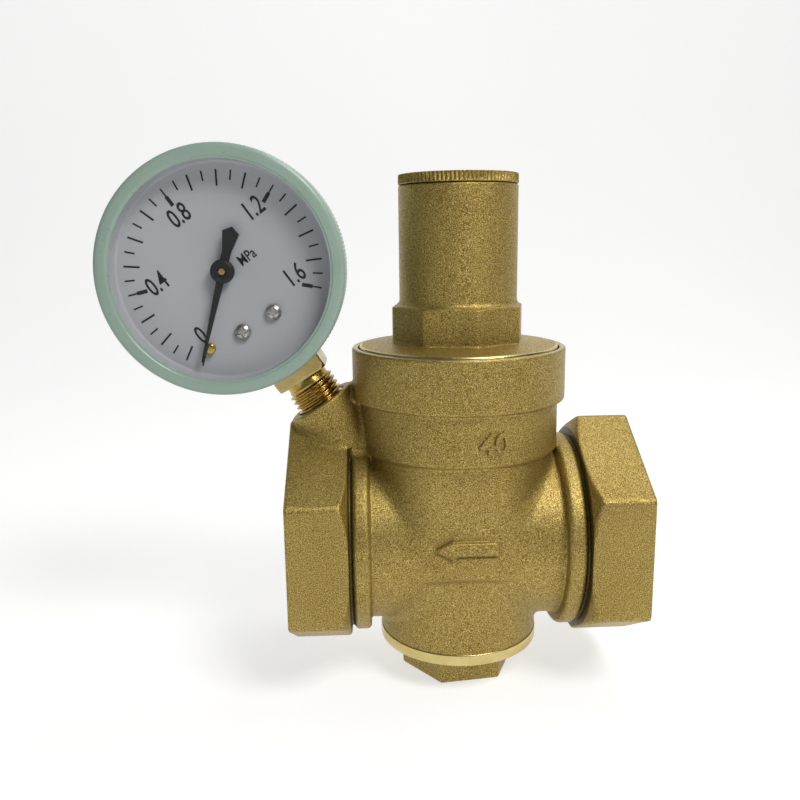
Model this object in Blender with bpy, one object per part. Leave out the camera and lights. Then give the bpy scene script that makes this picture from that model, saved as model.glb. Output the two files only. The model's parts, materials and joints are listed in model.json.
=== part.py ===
"""Pressure reducing valve: brass body, spring bonnet, piston and disc group, and a gauge with its movement.

Frame: the origin is the centre of the bottom plug's flat face, on the vertical valve axis. +Z is up,
+X is the inlet side, -X the outlet side that carries the gauge, and -Y the front.
Lengths in the constants are millimetres; every mesh is written in metres.
"""

from math import cos, pi, radians, sin, sqrt

import bpy
from mathutils import Matrix, Vector

MM = 0.001
GAP = 0.3  # clearance left between two pieces that meet

# Ports and the horizontal run
PORT_Z = 40.2  # height of the run axis
PORT_REACH = {1: 48.0, -1: 47.0}  # vertical axis to the inlet's (+X) and the outlet's (-X) end face
PORT_HEX_FLATS = 57.0
PORT_HEX_LENGTH = 16.2
PORT_THREAD_R = 22.4  # minor radius of the 1-1/2 inch pipe thread
PORT_THREAD_DEPTH = 19.0
RUN_R = 24.0
RUN_BORE_R = 19.5
BEAD_R = 27.2
BEAD_WIDTH = 4.7
BEAD_TO_HEX = 0.8

# Body along the vertical axis
NECK_R = 22.3
NECK_BOTTOM = 12.9
WAIST_R = 26.0
WAIST_BOTTOM = 34.7
PANEL_Y = 24.4  # flat panels at the front and back of the waist
BELL_R = 27.37
BELL_BOTTOM = 65.5
RING_R = 29.27
RING_BOTTOM = 79.5
BODY_TOP = 93.7
COUNTERBORE_R = 27.6
COUNTERBORE_Z = 91.1
BONNET_THREAD_R = 25.0
BONNET_THREAD_Z = 80.0
PISTON_BORE_R = 21.5
PISTON_BORE_Z = 67.6
CHAMBER_R = 18.0
WEB_TOP = 43.0  # web between the inlet and outlet sides, holding the seat
WEB_BOTTOM = 38.0
SEAT_HOLE_R = 14.0
PLUG_BORE_R = 18.3
PASSAGE_X = 22.0  # where the full run bore ends and the passages turn

# Gauge boss, in the plane Y = 0
STEM_LEAN = radians(31.8)  # the gauge stem leans this far towards the outlet
BOSS_END_X = -38.2
BOSS_END_Z = 78.8
BOSS_R = 9.5
BOSS_BACK = 25.0
BOSS_BORE_R = 7.05
BOSS_BORE_DEPTH = 13.0
TAPPING_R = 2.5  # pressure tapping below the boss thread

# Bonnet, cap and adjuster
DISC_R = 27.2
DISC_TOP = 95.2  # at the foot of the octagon; the disc falls away to its rim
DISC_RIM_TOP = 94.1
OCTAGON_R = 18.5
OCTAGON_TURN = radians(-12.5)
OCTAGON_TOP = 104.9
TOWER_R = 16.0
TOWER_TOP = 136.3
TOWER_BORE_R = 13.2
CAP_R = 16.03
CAP_BOTTOM = 136.6
CAP_TOP = 139.2
SEAL_GROOVE_R = 14.9  # recess in the tower's rim, which holds the cap seal
SEAL_GROOVE_Z = 135.5
CAP_SKIRT_R = 12.9
CAP_SKIRT_BOTTOM = 131.0
CAP_TEETH = 48
CAP_TOOTH = 0.25
SCREW_BOTTOM = 120.5
SCREW_TOP = 128.5
SCREW_SOCKET_FLATS = 12.0

# Spring, piston and disc group at rest, with the valve open
SPRING_R = 10.4
SPRING_WIRE_R = 1.7
SPRING_BOTTOM = 77.3
SPRING_TOP = 117.1
SPRING_TURNS = 7.5
PISTON_R = 21.2
PISTON_BOTTOM = 68.0
PISTON_TOP = 77.0
STEM_R = 4.5
STEM_END_R = 3.0
STEM_HOLE_R = 3.3
SEAT_LIP_Z = 35.8
DISC_SEAL_BOTTOM = 28.3
DISC_SEAL_TOP = 31.1
GUIDE_R = 6.5
GUIDE_BORE_R = 6.8
GUIDE_BORE_FLOOR = 5.0

# Bottom plug
PLUG_FLANGE_R = 22.55
PLUG_FLANGE_BOTTOM = 8.7
PLUG_FLANGE_TOP = 12.3
PLUG_HEX_R = 16.6
PLUG_HEX_TURN = radians(7.7)
PLUG_THREAD_TOP = 20.0

# Gauge, in its own frame: origin on the arbor axis, local +Z away from the stem, local -Y to the front
GAUGE_REACH = 42.9  # boss face to arbor axis, along the stem
GAUGE_X = BOSS_END_X - GAUGE_REACH * sin(STEM_LEAN)
GAUGE_Z = BOSS_END_Z + GAUGE_REACH * cos(STEM_LEAN)
BEZEL_R = 31.0
BEZEL_INNER_R = 30.0
BEZEL_FRONT = -20.0
BEZEL_BACK = -2.5
BEZEL_WINDOW_R = 27.0
CASE_R = 29.65
CASE_WALL = 1.2
CASE_FRONT = -16.4
CASE_BACK = 9.0
GLASS_R = 29.5
GLASS_FRONT = -18.7
GLASS_BACK = -17.5
GASKET_R = 27.6
DIAL_R = 28.0
DIAL_FRONT = -13.8
DIAL_BACK = -13.2
SOCKET_FLATS = 14.4
SOCKET_BOTTOM = -34.8
SOCKET_THREAD_R = 6.75
SOCKET_THREAD_END = -54.1
SOCKET_BORE_R = 2.2
DIAL_SCREW_R = 16.0
DIAL_SCREW_SPREAD = radians(17.0)
POINTER_REST = radians(-164.6)  # clockwise from vertical, seen from the front
STOP_PIN_ANGLE = radians(-167.3)
STOP_PIN_R = 20.0
POINTER_TIP = 23.7
POINTER_TAIL = 11.4
POINTER_FRONT = -16.3
POINTER_BACK = -15.7
PINION_TEETH = 10
SECTOR_TEETH = 80  # of a full wheel
GEAR_MODULE = 0.3
SECTOR_PIVOT_ANGLE = radians(30.0)
PLATE_HOLE_R = 1.1
ARBOR_R = 0.8
BOURDON_R = 23.2
TAIL_R = 6.6
TAIL_ANGLE = radians(-60.0)
LUG_R = 18.5
LUG_ANGLE = radians(-25.0)
MOVEMENT_SCREW_X = 4.0
MOVEMENT_SCREW_Z = -7.4

ROUND = 48
MEDIUM = 32
SMALL = 16

TO_X = Matrix.Rotation(pi / 2, 4, "Y")  # a shape turned about Z, laid along X
TO_Y = Matrix.Rotation(-pi / 2, 4, "X")  # and along Y

for old in list(bpy.data.objects):
    bpy.data.objects.remove(old, do_unlink=True)


def material(name, colour, metallic, roughness):
    made = bpy.data.materials.new(name)
    made.use_nodes = True
    shader = made.node_tree.nodes["Principled BSDF"]
    shader.inputs["Base Color"].default_value = (*colour, 1.0)
    shader.inputs["Metallic"].default_value = metallic
    shader.inputs["Roughness"].default_value = roughness
    return made


CAST_BRASS = material("cast_brass", (0.44, 0.33, 0.11), 0.8, 0.5)
MACHINED_BRASS = material("machined_brass", (0.78, 0.62, 0.26), 1.0, 0.25)
STAINLESS = material("stainless_steel", (0.62, 0.61, 0.58), 1.0, 0.3)
SPRING_STEEL = material("spring_steel", (0.35, 0.35, 0.36), 1.0, 0.4)
BLACK_RUBBER = material("black_rubber", (0.03, 0.03, 0.03), 0.0, 0.7)
WHITE_PLASTIC = material("white_seal", (0.85, 0.85, 0.82), 0.0, 0.5)
GREEN_PAINT = material("green_paint", (0.45, 0.66, 0.55), 0.0, 0.35)
DIAL_WHITE = material("dial_white", (0.75, 0.75, 0.78), 0.0, 0.5)
BLACK_PAINT = material("black_paint", (0.02, 0.02, 0.02), 0.0, 0.5)
GLASS = material("clear_glass", (0.95, 0.97, 0.97), 0.0, 0.02)


def mesh_object(name, points, faces, finish, matrix=None):
    mesh = bpy.data.meshes.new(name)
    mesh.from_pydata([Vector(p) * MM for p in points], [], faces)
    if matrix is not None:
        mesh.transform(matrix)
    mesh.validate()
    made = bpy.data.objects.new(name, mesh)
    mesh.materials.append(finish)
    bpy.context.scene.collection.objects.link(made)
    return made


def shift(x, y, z):
    return Matrix.Translation(Vector((x, y, z)) * MM)


def lathe(name, profile, finish, segments=ROUND, matrix=None):
    """Turns (radius, height) points about Z. Going round the profile, the solid is on its left."""
    points, rings, faces = [], [], []
    for radius, height in profile:
        if radius == 0:
            rings.append([len(points)])
            points.append((0, 0, height))
            continue
        rings.append(list(range(len(points), len(points) + segments)))
        for step in range(segments):
            angle = 2 * pi * step / segments
            points.append((radius * cos(angle), radius * sin(angle), height))
    pairs = list(zip(rings, rings[1:]))
    if profile[0][0] and profile[-1][0]:
        pairs.append((rings[-1], rings[0]))
    for low, high in pairs:
        for step in range(segments):
            after = (step + 1) % segments
            if len(low) == 1:
                faces.append((low[0], high[after], high[step]))
            elif len(high) == 1:
                faces.append((low[step], low[after], high[0]))
            else:
                faces.append((low[step], low[after], high[after], high[step]))
    return mesh_object(name, points, faces, finish, matrix)


def rod(name, radius, low, high, finish=CAST_BRASS, segments=ROUND, matrix=None):
    return lathe(name, [(0, low), (radius, low), (radius, high), (0, high)], finish, segments, matrix)


def tube(name, inner, outer, low, high, finish, segments=ROUND, matrix=None):
    loop = [(inner, low), (outer, low), (outer, high), (inner, high)]
    return lathe(name, loop, finish, segments, matrix)


def prism(name, outline, low, high, finish=CAST_BRASS, matrix=None):
    """Extrudes an anticlockwise (x, y) outline along Z."""
    count = len(outline)
    points = [(x, y, low) for x, y in outline] + [(x, y, high) for x, y in outline]
    faces = [tuple(reversed(range(count))), tuple(range(count, 2 * count))]
    for step in range(count):
        after = (step + 1) % count
        faces.append((step, after, after + count, step + count))
    return mesh_object(name, points, faces, finish, matrix)


def box(name, low, high, finish=CAST_BRASS, matrix=None):
    outline = [(low[0], low[1]), (high[0], low[1]), (high[0], high[1]), (low[0], high[1])]
    return prism(name, outline, low[2], high[2], finish, matrix)


def polygon(sides, radius, turn=0.0):
    angles = [turn + 2 * pi * step / sides for step in range(sides)]
    return [(radius * cos(angle), radius * sin(angle)) for angle in angles]


def sweep(name, path, section, finish, matrix=None):
    """A closed section carried along (point, across, along) frames, where across x along is the heading."""
    points, faces = [], []
    count = len(section)
    for centre, outward, upward in path:
        for across, along in section:
            points.append(tuple(centre + outward * across + upward * along))
    for ring in range(len(path) - 1):
        for step in range(count):
            after = (step + 1) % count
            base = ring * count
            faces.append((base + step, base + after, base + after + count, base + step + count))
    faces.append(tuple(reversed(range(count))))
    faces.append(tuple(range(len(points) - count, len(points))))
    return mesh_object(name, points, faces, finish, matrix)


def combine(target, operation, others, solver="EXACT"):
    """Applies Booleans to target and drops the helper shapes."""
    for other in others:
        step = target.modifiers.new(operation.lower(), "BOOLEAN")
        step.operation = operation
        step.solver = solver
        step.object = other
    bpy.context.view_layer.update()
    graph = bpy.context.evaluated_depsgraph_get()
    mesh = bpy.data.meshes.new_from_object(target.evaluated_get(graph))
    target.modifiers.clear()
    target.data = mesh
    for other in others:
        bpy.data.objects.remove(other, do_unlink=True)


def smooth(*objects):
    for item in objects:
        item.data.shade_smooth()
        item.data.set_sharp_from_angle(angle=radians(30))


# ---------------------------------------------------------------- valve body
def hex_port(side):
    """The wrench hexagon of one port: flats to the front and back, both ends chamfered by a cone."""
    corner = PORT_HEX_FLATS / sqrt(3)
    outline = polygon(6, corner)
    low, high = PORT_REACH[side] - PORT_HEX_LENGTH, PORT_REACH[side]
    flat = PORT_HEX_FLATS / 2 + 0.2
    port = prism("port", outline, low, high)
    cone = [
        (0, low - 1),
        (flat, low - 1),
        (flat, low),
        (corner + 0.2, low + 2.4),
        (corner + 0.2, high - 0.9),
        (corner - 1.2, high + 0.01),
        (0, high + 0.01),
    ]
    combine(port, "INTERSECT", [lathe("cone", cone, CAST_BRASS)])
    turn = Matrix.Rotation(side * pi / 2, 4, "Y")
    port.data.transform(shift(0, 0, PORT_Z) @ turn)
    return port


def run_pipe():
    """The horizontal pipe between the two hexagons, with its two raised collars."""
    ends = {}
    for side in (1, -1):
        hex_start = PORT_REACH[side] - PORT_HEX_LENGTH
        bead_end = hex_start - BEAD_TO_HEX
        bead_start = bead_end - BEAD_WIDTH
        profile = [
            (0, hex_start + 1.0),
            (RUN_R + 0.6, hex_start + 1.0),
            (RUN_R + 0.6, bead_end + 0.2),
            (BEAD_R - 0.9, bead_end),
            (BEAD_R, bead_end - 0.9),
            (BEAD_R, bead_start + 0.9),
            (BEAD_R - 0.9, bead_start),
            (RUN_R, bead_start - 0.2),
        ]
        ends[side] = [(radius, side * reach) for radius, reach in profile]
    outline = ends[-1] + list(reversed(ends[1]))
    return lathe("run", outline, CAST_BRASS, matrix=shift(0, 0, PORT_Z) @ TO_X)


def flow_arrow():
    """Raised arrow on the front panel, pointing to the outlet."""
    tip, neck, tail = -8.3, -3.4, 8.1
    head, shaft = 2.5, 1.65
    lower = [(tip, 0), (neck, -head), (neck, -shaft), (tail, -shaft)]
    outline = lower + [(x, -z) for x, z in reversed(lower[1:])]
    stand = Matrix.Rotation(pi / 2, 4, "X")
    return prism("arrow", outline, PANEL_Y - 0.8, PANEL_Y + 0.6, matrix=shift(0, 0, 44.2) @ stand)


def boss_shape():
    """The leaning gauge boss, drawn up its own axis and then leant over, with its web to the bell."""
    lean = shift(BOSS_END_X, 0, BOSS_END_Z) @ Matrix.Rotation(-STEM_LEAN, 4, "Y")
    post = rod("boss", BOSS_R, -BOSS_BACK, 0, segments=32, matrix=lean)
    web = [(-40.0, 56.0), (-20.0, 56.0), (-20.0, 81.5), (-29.0, 81.5), (-35.5, 78.5)]
    upright = Matrix.Rotation(pi / 2, 4, "X")
    combine(post, "UNION", [prism("web", web, -4.0, 4.0, matrix=upright)])
    return post


def valve_body():
    profile = [
        (0, NECK_BOTTOM),
        (NECK_R - 0.5, NECK_BOTTOM),
        (NECK_R, NECK_BOTTOM + 0.5),
        (NECK_R, WAIST_BOTTOM),
        (WAIST_R, WAIST_BOTTOM),
        (WAIST_R, BELL_BOTTOM - 0.4),
        (BELL_R, BELL_BOTTOM + 0.6),
        (BELL_R, RING_BOTTOM - 0.6),
        (RING_R, RING_BOTTOM + 0.9),
        (RING_R, BODY_TOP - 0.6),
        (RING_R - 0.6, BODY_TOP),
        (0, BODY_TOP),
    ]
    body = lathe("valve_body", profile, CAST_BRASS)
    panels = [
        box("panel", (-30, -40, WAIST_BOTTOM - 1), (30, -PANEL_Y, BELL_BOTTOM - 1.0)),
        box("panel", (-30, PANEL_Y, WAIST_BOTTOM - 1), (30, 40, BELL_BOTTOM - 1.0)),
    ]
    combine(body, "DIFFERENCE", panels)
    outside = [run_pipe(), hex_port(1), hex_port(-1)]
    combine(body, "UNION", outside + [boss_shape(), flow_arrow()])

    lean = shift(BOSS_END_X, 0, BOSS_END_Z) @ Matrix.Rotation(-STEM_LEAN, 4, "Y")
    upper = [
        (0, WEB_TOP),
        (CHAMBER_R, WEB_TOP),
        (CHAMBER_R, PISTON_BORE_Z),
        (PISTON_BORE_R, PISTON_BORE_Z),
        (PISTON_BORE_R, BONNET_THREAD_Z),
        (BONNET_THREAD_R, BONNET_THREAD_Z),
        (BONNET_THREAD_R, COUNTERBORE_Z),
        (COUNTERBORE_R, COUNTERBORE_Z),
        (COUNTERBORE_R, BODY_TOP + 1),
        (0, BODY_TOP + 1),
    ]
    lower = [
        (0, NECK_BOTTOM - 1),
        (PLUG_BORE_R, NECK_BOTTOM - 1),
        (PLUG_BORE_R, WEB_BOTTOM),
        (0, WEB_BOTTOM),
    ]
    cuts = [
        lathe("upper_chamber", upper, CAST_BRASS),
        lathe("lower_chamber", lower, CAST_BRASS),
        rod("seat_hole", SEAT_HOLE_R, WEB_BOTTOM - 1, WEB_TOP + 1, segments=32),
        rod("boss_bore", BOSS_BORE_R, -BOSS_BORE_DEPTH, 1, segments=32, matrix=lean),
        rod("tapping", TAPPING_R, -BOSS_BORE_DEPTH - 18, -BOSS_BORE_DEPTH + 1, segments=16, matrix=lean),
    ]
    # The inlet passes under the web, and the outlet leaves above it.
    level = {1: (0.0, WEB_BOTTOM), -1: (WEB_TOP, 80.0)}
    for side in (1, -1):
        reach = PORT_REACH[side]
        turned = Matrix.Rotation(side * pi / 2, 4, "Y") @ Matrix.Rotation(pi / ROUND, 4, "Z")
        laid = shift(0, 0, PORT_Z) @ turned
        passage = rod("passage", RUN_BORE_R - 0.4, 0, PASSAGE_X + 1, matrix=laid)
        low, high = level[side]
        combine(passage, "INTERSECT", [box("level", (-40, -40, low), (40, 40, high))])
        bore = lathe("port_bore", [
            (0, PASSAGE_X),
            (RUN_BORE_R, PASSAGE_X),
            (RUN_BORE_R, reach - PORT_THREAD_DEPTH),
            (PORT_THREAD_R, reach - PORT_THREAD_DEPTH),
            (PORT_THREAD_R, reach - 1.5),
            (PORT_THREAD_R + 2.0, reach + 0.5),
            (0, reach + 0.5),
        ], CAST_BRASS, matrix=laid)
        combine(bore, "UNION", [passage], "MANIFOLD")
        cuts.append(bore)
    combine(body, "DIFFERENCE", cuts, "MANIFOLD")
    return body


def bonnet():
    """Threaded skirt, flange disc, eight-sided wrench part and the spring tower, in one piece."""
    outside = [
        (0, BONNET_THREAD_Z + 2.2),
        (BONNET_THREAD_R - GAP - 0.8, BONNET_THREAD_Z + 2.2),
        (BONNET_THREAD_R - GAP, BONNET_THREAD_Z + 3.0),
        (BONNET_THREAD_R - GAP, COUNTERBORE_Z + 0.3),
        (DISC_R, COUNTERBORE_Z + 0.3),
        (DISC_R, DISC_RIM_TOP - 0.4),
        (DISC_R - 0.4, DISC_RIM_TOP),
        (OCTAGON_R - 1.5, DISC_TOP),
        (0, DISC_TOP),
    ]
    made = lathe("bonnet", outside, CAST_BRASS)
    outline = polygon(8, OCTAGON_R, OCTAGON_TURN - pi / 2 + pi / 8)
    octagon = prism("octagon", outline, DISC_TOP - 1, OCTAGON_TOP + 3)
    cone = [
        (0, DISC_TOP - 2),
        (OCTAGON_R + 0.4, DISC_TOP - 2),
        (OCTAGON_R + 0.4, OCTAGON_TOP - 0.3),
        (TOWER_R + 1.0, OCTAGON_TOP),
        (TOWER_R - 0.2, OCTAGON_TOP + 1.2),
        (0, OCTAGON_TOP + 1.2),
    ]
    combine(octagon, "INTERSECT", [lathe("cone", cone, CAST_BRASS)])
    tower = lathe("tower", [
        (0, DISC_TOP - 1),
        (TOWER_R, DISC_TOP - 1),
        (TOWER_R, TOWER_TOP - 0.3),
        (TOWER_R - 0.3, TOWER_TOP),
        (0, TOWER_TOP),
    ], CAST_BRASS)
    combine(made, "UNION", [octagon, tower])
    bore = [
        (0, BONNET_THREAD_Z),
        (TOWER_BORE_R, BONNET_THREAD_Z),
        (TOWER_BORE_R, SEAL_GROOVE_Z),
        (SEAL_GROOVE_R, SEAL_GROOVE_Z),
        (SEAL_GROOVE_R, TOWER_TOP + 1),
        (0, TOWER_TOP + 1),
    ]
    combine(made, "DIFFERENCE", [lathe("bore", bore, CAST_BRASS, 32)])
    return made


def toothed_ring(radius, depth, teeth, steps=4):
    """The outline of a straight knurl: flat crests and roots."""
    outline = []
    for tooth in range(teeth):
        for step in range(steps):
            angle = 2 * pi * (tooth + step / steps) / teeth
            reach = radius if step < steps / 2 else radius - depth
            outline.append((reach * cos(angle), reach * sin(angle)))
    return outline


def cap():
    """Knurled screw cap: a thin plate with a hollow threaded skirt that fills the top of the tower."""
    made = prism("cap", toothed_ring(CAP_R, CAP_TOOTH, CAP_TEETH, 2), CAP_BOTTOM, CAP_TOP)
    combine(made, "INTERSECT", [lathe("edge", [
        (0, CAP_BOTTOM - 1),
        (CAP_R + 0.1, CAP_BOTTOM - 1),
        (CAP_R + 0.1, CAP_TOP - 0.4),
        (CAP_R - 0.45, CAP_TOP + 0.01),
        (0, CAP_TOP + 0.01),
    ], CAST_BRASS)])
    skirt = rod("skirt", CAP_SKIRT_R, CAP_SKIRT_BOTTOM, CAP_BOTTOM + 0.5, segments=32)
    combine(made, "UNION", [skirt])
    hollow = rod("hollow", CAP_SKIRT_R - 2.2, CAP_SKIRT_BOTTOM - 1, CAP_BOTTOM - 0.2, segments=32)
    combine(made, "DIFFERENCE", [hollow])
    return made


def adjusting_screw():
    """Threaded disc with a nose that presses the spring seat and a hexagon socket for the key."""
    profile = [
        (0, SCREW_BOTTOM - 2.0),
        (4.4, SCREW_BOTTOM - 2.0),
        (5.0, SCREW_BOTTOM - 1.4),
        (5.0, SCREW_BOTTOM),
        (CAP_SKIRT_R - 0.5, SCREW_BOTTOM),
        (CAP_SKIRT_R, SCREW_BOTTOM + 0.5),
        (CAP_SKIRT_R, SCREW_TOP - 0.5),
        (CAP_SKIRT_R - 0.5, SCREW_TOP),
        (0, SCREW_TOP),
    ]
    made = lathe("adjusting_screw", profile, MACHINED_BRASS, 32)
    socket = prism("socket", polygon(6, SCREW_SOCKET_FLATS / sqrt(3)), SCREW_TOP - 5.0, SCREW_TOP + 1)
    combine(made, "DIFFERENCE", [socket])
    return made


def adjusting_spring():
    """Compression spring with one closed turn at each end."""
    per_turn = 16
    steps = int(SPRING_TURNS * per_turn)
    low, high = SPRING_BOTTOM + SPRING_WIRE_R, SPRING_TOP - SPRING_WIRE_R
    closed = 2 * SPRING_WIRE_R + 0.15
    open_pitch = (high - low - 2 * closed) / (SPRING_TURNS - 2)
    path = []
    for step in range(steps + 1):
        turns = step / per_turn
        height = low + closed * min(turns, 1) + open_pitch * min(max(turns - 1, 0), SPRING_TURNS - 2)
        height += closed * max(turns - SPRING_TURNS + 1, 0)
        outward = Vector((cos(2 * pi * turns), sin(2 * pi * turns), 0))
        path.append((outward * SPRING_R + Vector((0, 0, height)), outward, Vector((0, 0, -1))))
    section = [(SPRING_WIRE_R * x, SPRING_WIRE_R * z) for x, z in polygon(6, 1.0)]
    return sweep("adjusting_spring", path, section, SPRING_STEEL)


def moving_group():
    """Piston, stem, disc holder and what they carry."""
    groove, floor = (71.1, 74.1), 18.6
    lathe("piston", [
        (STEM_HOLE_R, PISTON_BOTTOM),
        (PISTON_R - 0.6, PISTON_BOTTOM),
        (PISTON_R, PISTON_BOTTOM + 0.6),
        (PISTON_R, groove[0]),
        (floor, groove[0]),
        (floor, groove[1]),
        (PISTON_R, groove[1]),
        (PISTON_R, PISTON_TOP - 0.5),
        (PISTON_R - 0.5, PISTON_TOP),
        (8.0, PISTON_TOP),
        (7.6, PISTON_TOP + 4.0),
        (STEM_HOLE_R, PISTON_TOP + 4.0),
    ], MACHINED_BRASS, MEDIUM)
    ring("piston_o_ring", 19.95, 1.05, (groove[0] + groove[1]) / 2, BLACK_RUBBER)
    nut = prism("piston_nut", polygon(6, 10.0 / sqrt(3)), PISTON_TOP + 4.3, PISTON_TOP + 9.3, STAINLESS)
    combine(nut, "DIFFERENCE", [rod("hole", STEM_HOLE_R, PISTON_TOP, PISTON_TOP + 12, segments=24)])
    lathe("stem", [
        (0, 18.3),
        (STEM_END_R - 0.4, 18.3),
        (STEM_END_R, 18.7),
        (STEM_END_R, 33.3),
        (STEM_R, 33.3),
        (STEM_R, PISTON_BOTTOM - GAP),
        (STEM_END_R, PISTON_BOTTOM - GAP),
        (STEM_END_R, PISTON_TOP + 10.6),
        (STEM_END_R - 0.4, PISTON_TOP + 11.0),
        (0, PISTON_TOP + 11.0),
    ], STAINLESS, 24)
    tube("disc_washer", STEM_HOLE_R, 9.5, DISC_SEAL_TOP + GAP, 33.0, STAINLESS, MEDIUM)
    tube("disc_seal", STEM_HOLE_R, 15.5, DISC_SEAL_BOTTOM, DISC_SEAL_TOP, BLACK_RUBBER, 32)
    lathe("disc_holder", [
        (0, 7.0),
        (GUIDE_R - 0.6, 7.0),
        (GUIDE_R, 7.6),
        (GUIDE_R, 13.6),
        (5.05, 13.6),
        (5.05, 15.4),
        (GUIDE_R, 15.4),
        (GUIDE_R, 25.0),
        (16.0, 25.0),
        (16.6, 25.6),
        (16.6, 30.4),
        (15.8, 30.4),
        (15.8, DISC_SEAL_BOTTOM - GAP),
        (STEM_HOLE_R, DISC_SEAL_BOTTOM - GAP),
        (STEM_HOLE_R, 18.0),
        (0, 18.0),
    ], MACHINED_BRASS, 32)
    ring("guide_o_ring", 5.95, 0.6, 14.5, BLACK_RUBBER, 24)


def ring(name, radius, thickness, height, finish, segments=MEDIUM):
    """An O-ring of round section."""
    return lathe(name, [(radius + x, height + z) for x, z in polygon(6, thickness)], finish, segments)


def bottom_plug():
    """Guide plug with a hexagon below its flange and a blind guide bore above."""
    profile = [
        (0, PLUG_FLANGE_BOTTOM),
        (PLUG_FLANGE_R - 0.5, PLUG_FLANGE_BOTTOM),
        (PLUG_FLANGE_R, PLUG_FLANGE_BOTTOM + 0.5),
        (PLUG_FLANGE_R, PLUG_FLANGE_TOP - 0.4),
        (PLUG_FLANGE_R - 0.4, PLUG_FLANGE_TOP),
        (PLUG_BORE_R - GAP, PLUG_FLANGE_TOP),
        (PLUG_BORE_R - GAP, PLUG_THREAD_TOP - 0.8),
        (PLUG_BORE_R - GAP - 0.8, PLUG_THREAD_TOP),
        (0, PLUG_THREAD_TOP),
    ]
    made = lathe("bottom_plug", profile, MACHINED_BRASS)
    outline = polygon(6, PLUG_HEX_R, PLUG_HEX_TURN - pi / 2 + pi / 6)
    hexagon = prism("hexagon", outline, 0, PLUG_FLANGE_BOTTOM + 1)
    combine(made, "UNION", [hexagon])
    guide = rod("guide", GUIDE_BORE_R, GUIDE_BORE_FLOOR, PLUG_THREAD_TOP + 1, segments=32)
    combine(made, "DIFFERENCE", [guide])
    return made


def seat_parts():
    lathe("seat_ring", [
        (11.8, 37.0),
        (12.6, SEAT_LIP_Z),
        (13.2, SEAT_LIP_Z),
        (13.7, 37.0),
        (13.7, 43.7),
        (16.4, 43.7),
        (16.4, 45.4),
        (16.0, 45.8),
        (12.6, 45.8),
        (11.8, 45.0),
    ], STAINLESS, 32)
    tube("seat_gasket", 14.3, 16.2, WEB_TOP + 0.15, WEB_TOP + 0.55, WHITE_PLASTIC, 32)


# ---------------------------------------------------------------- gauge
def clock(angle, radius, depth=0.0):
    """A point at this radius, clockwise from the gauge's own vertical as seen from the front."""
    return Vector((radius * sin(angle), depth, radius * cos(angle)))


def world_to_gauge(angle):
    """A clock angle read off the upright picture, turned into the gauge's own frame."""
    return angle + STEM_LEAN


def gauge_socket():
    """Square wrench part, threaded stem and the block inside the case, with the pressure passage."""
    half = SOCKET_FLATS / 2
    made = prism("gauge_socket", polygon(4, half * sqrt(2), pi / 4), SOCKET_BOTTOM, -26.0, MACHINED_BRASS)
    block = box("block", (-6.6, -12.9, -26.5), (6.6, 4.5, -13.0))
    shelf = box("shelf", (-6.6, -2.3, -13.6), (6.6, 4.5, -4.2))
    stem = lathe("stem", [
        (0, SOCKET_THREAD_END),
        (SOCKET_THREAD_R - 1.0, SOCKET_THREAD_END),
        (SOCKET_THREAD_R, SOCKET_THREAD_END + 1.0),
        (SOCKET_THREAD_R, SOCKET_BOTTOM - 1.6),
        (SOCKET_THREAD_R - 1.1, SOCKET_BOTTOM - 1.4),
        (SOCKET_THREAD_R - 1.1, SOCKET_BOTTOM + 1.0),
        (0, SOCKET_BOTTOM + 1.0),
    ], MACHINED_BRASS, 32)
    combine(made, "UNION", [stem, block, shelf])
    holes = [rod("bore", SOCKET_BORE_R, SOCKET_THREAD_END - 1, -20.0, segments=16)]
    for side in (1, -1):
        x = side * DIAL_SCREW_R * sin(DIAL_SCREW_SPREAD)
        z = -DIAL_SCREW_R * cos(DIAL_SCREW_SPREAD)
        holes.append(rod("tap", 1.15, -14.0, -8.0, segments=16, matrix=shift(x, 0, z) @ TO_Y))
        place = shift(side * MOVEMENT_SCREW_X, 0, MOVEMENT_SCREW_Z)
        holes.append(rod("tap", 1.05, -3.0, 2.0, segments=16, matrix=place @ TO_Y))
    # The Bourdon tube enters a slot in the block's left side.
    holes.append(box("slot", (-8.0, -9.0, -24.4), (-3.5, 0.6, -19.8)))
    combine(made, "DIFFERENCE", holes)
    return made


def gauge_case():
    made = lathe("gauge_case", [
        (0, CASE_BACK - CASE_WALL),
        (CASE_R - CASE_WALL, CASE_BACK - CASE_WALL),
        (CASE_R - CASE_WALL, CASE_FRONT),
        (CASE_R, CASE_FRONT),
        (CASE_R, CASE_BACK - 1.0),
        (CASE_R - 1.0, CASE_BACK),
        (0, CASE_BACK),
    ], GREEN_PAINT, 48, TO_Y)
    half = SOCKET_FLATS / 2 + GAP
    combine(made, "DIFFERENCE", [box("opening", (-half, -half, -40), (half, half, -20))])
    return made


def bezel():
    """Friction ring over the glass; its skirt is notched where the socket passes out."""
    made = lathe("bezel", [
        (BEZEL_WINDOW_R, BEZEL_FRONT + 0.5),
        (BEZEL_WINDOW_R + 0.6, BEZEL_FRONT),
        (BEZEL_R - 1.2, BEZEL_FRONT),
        (BEZEL_R, BEZEL_FRONT + 1.4),
        (BEZEL_R, BEZEL_BACK),
        (BEZEL_INNER_R, BEZEL_BACK),
        (BEZEL_INNER_R, GLASS_FRONT - 0.3),
        (BEZEL_WINDOW_R, GLASS_FRONT - 0.3),
    ], GREEN_PAINT, ROUND, TO_Y)
    half = SOCKET_FLATS / 2 + GAP
    combine(made, "DIFFERENCE", [box("notch", (-half, -half, -40), (half, half, -20))])
    return made


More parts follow.
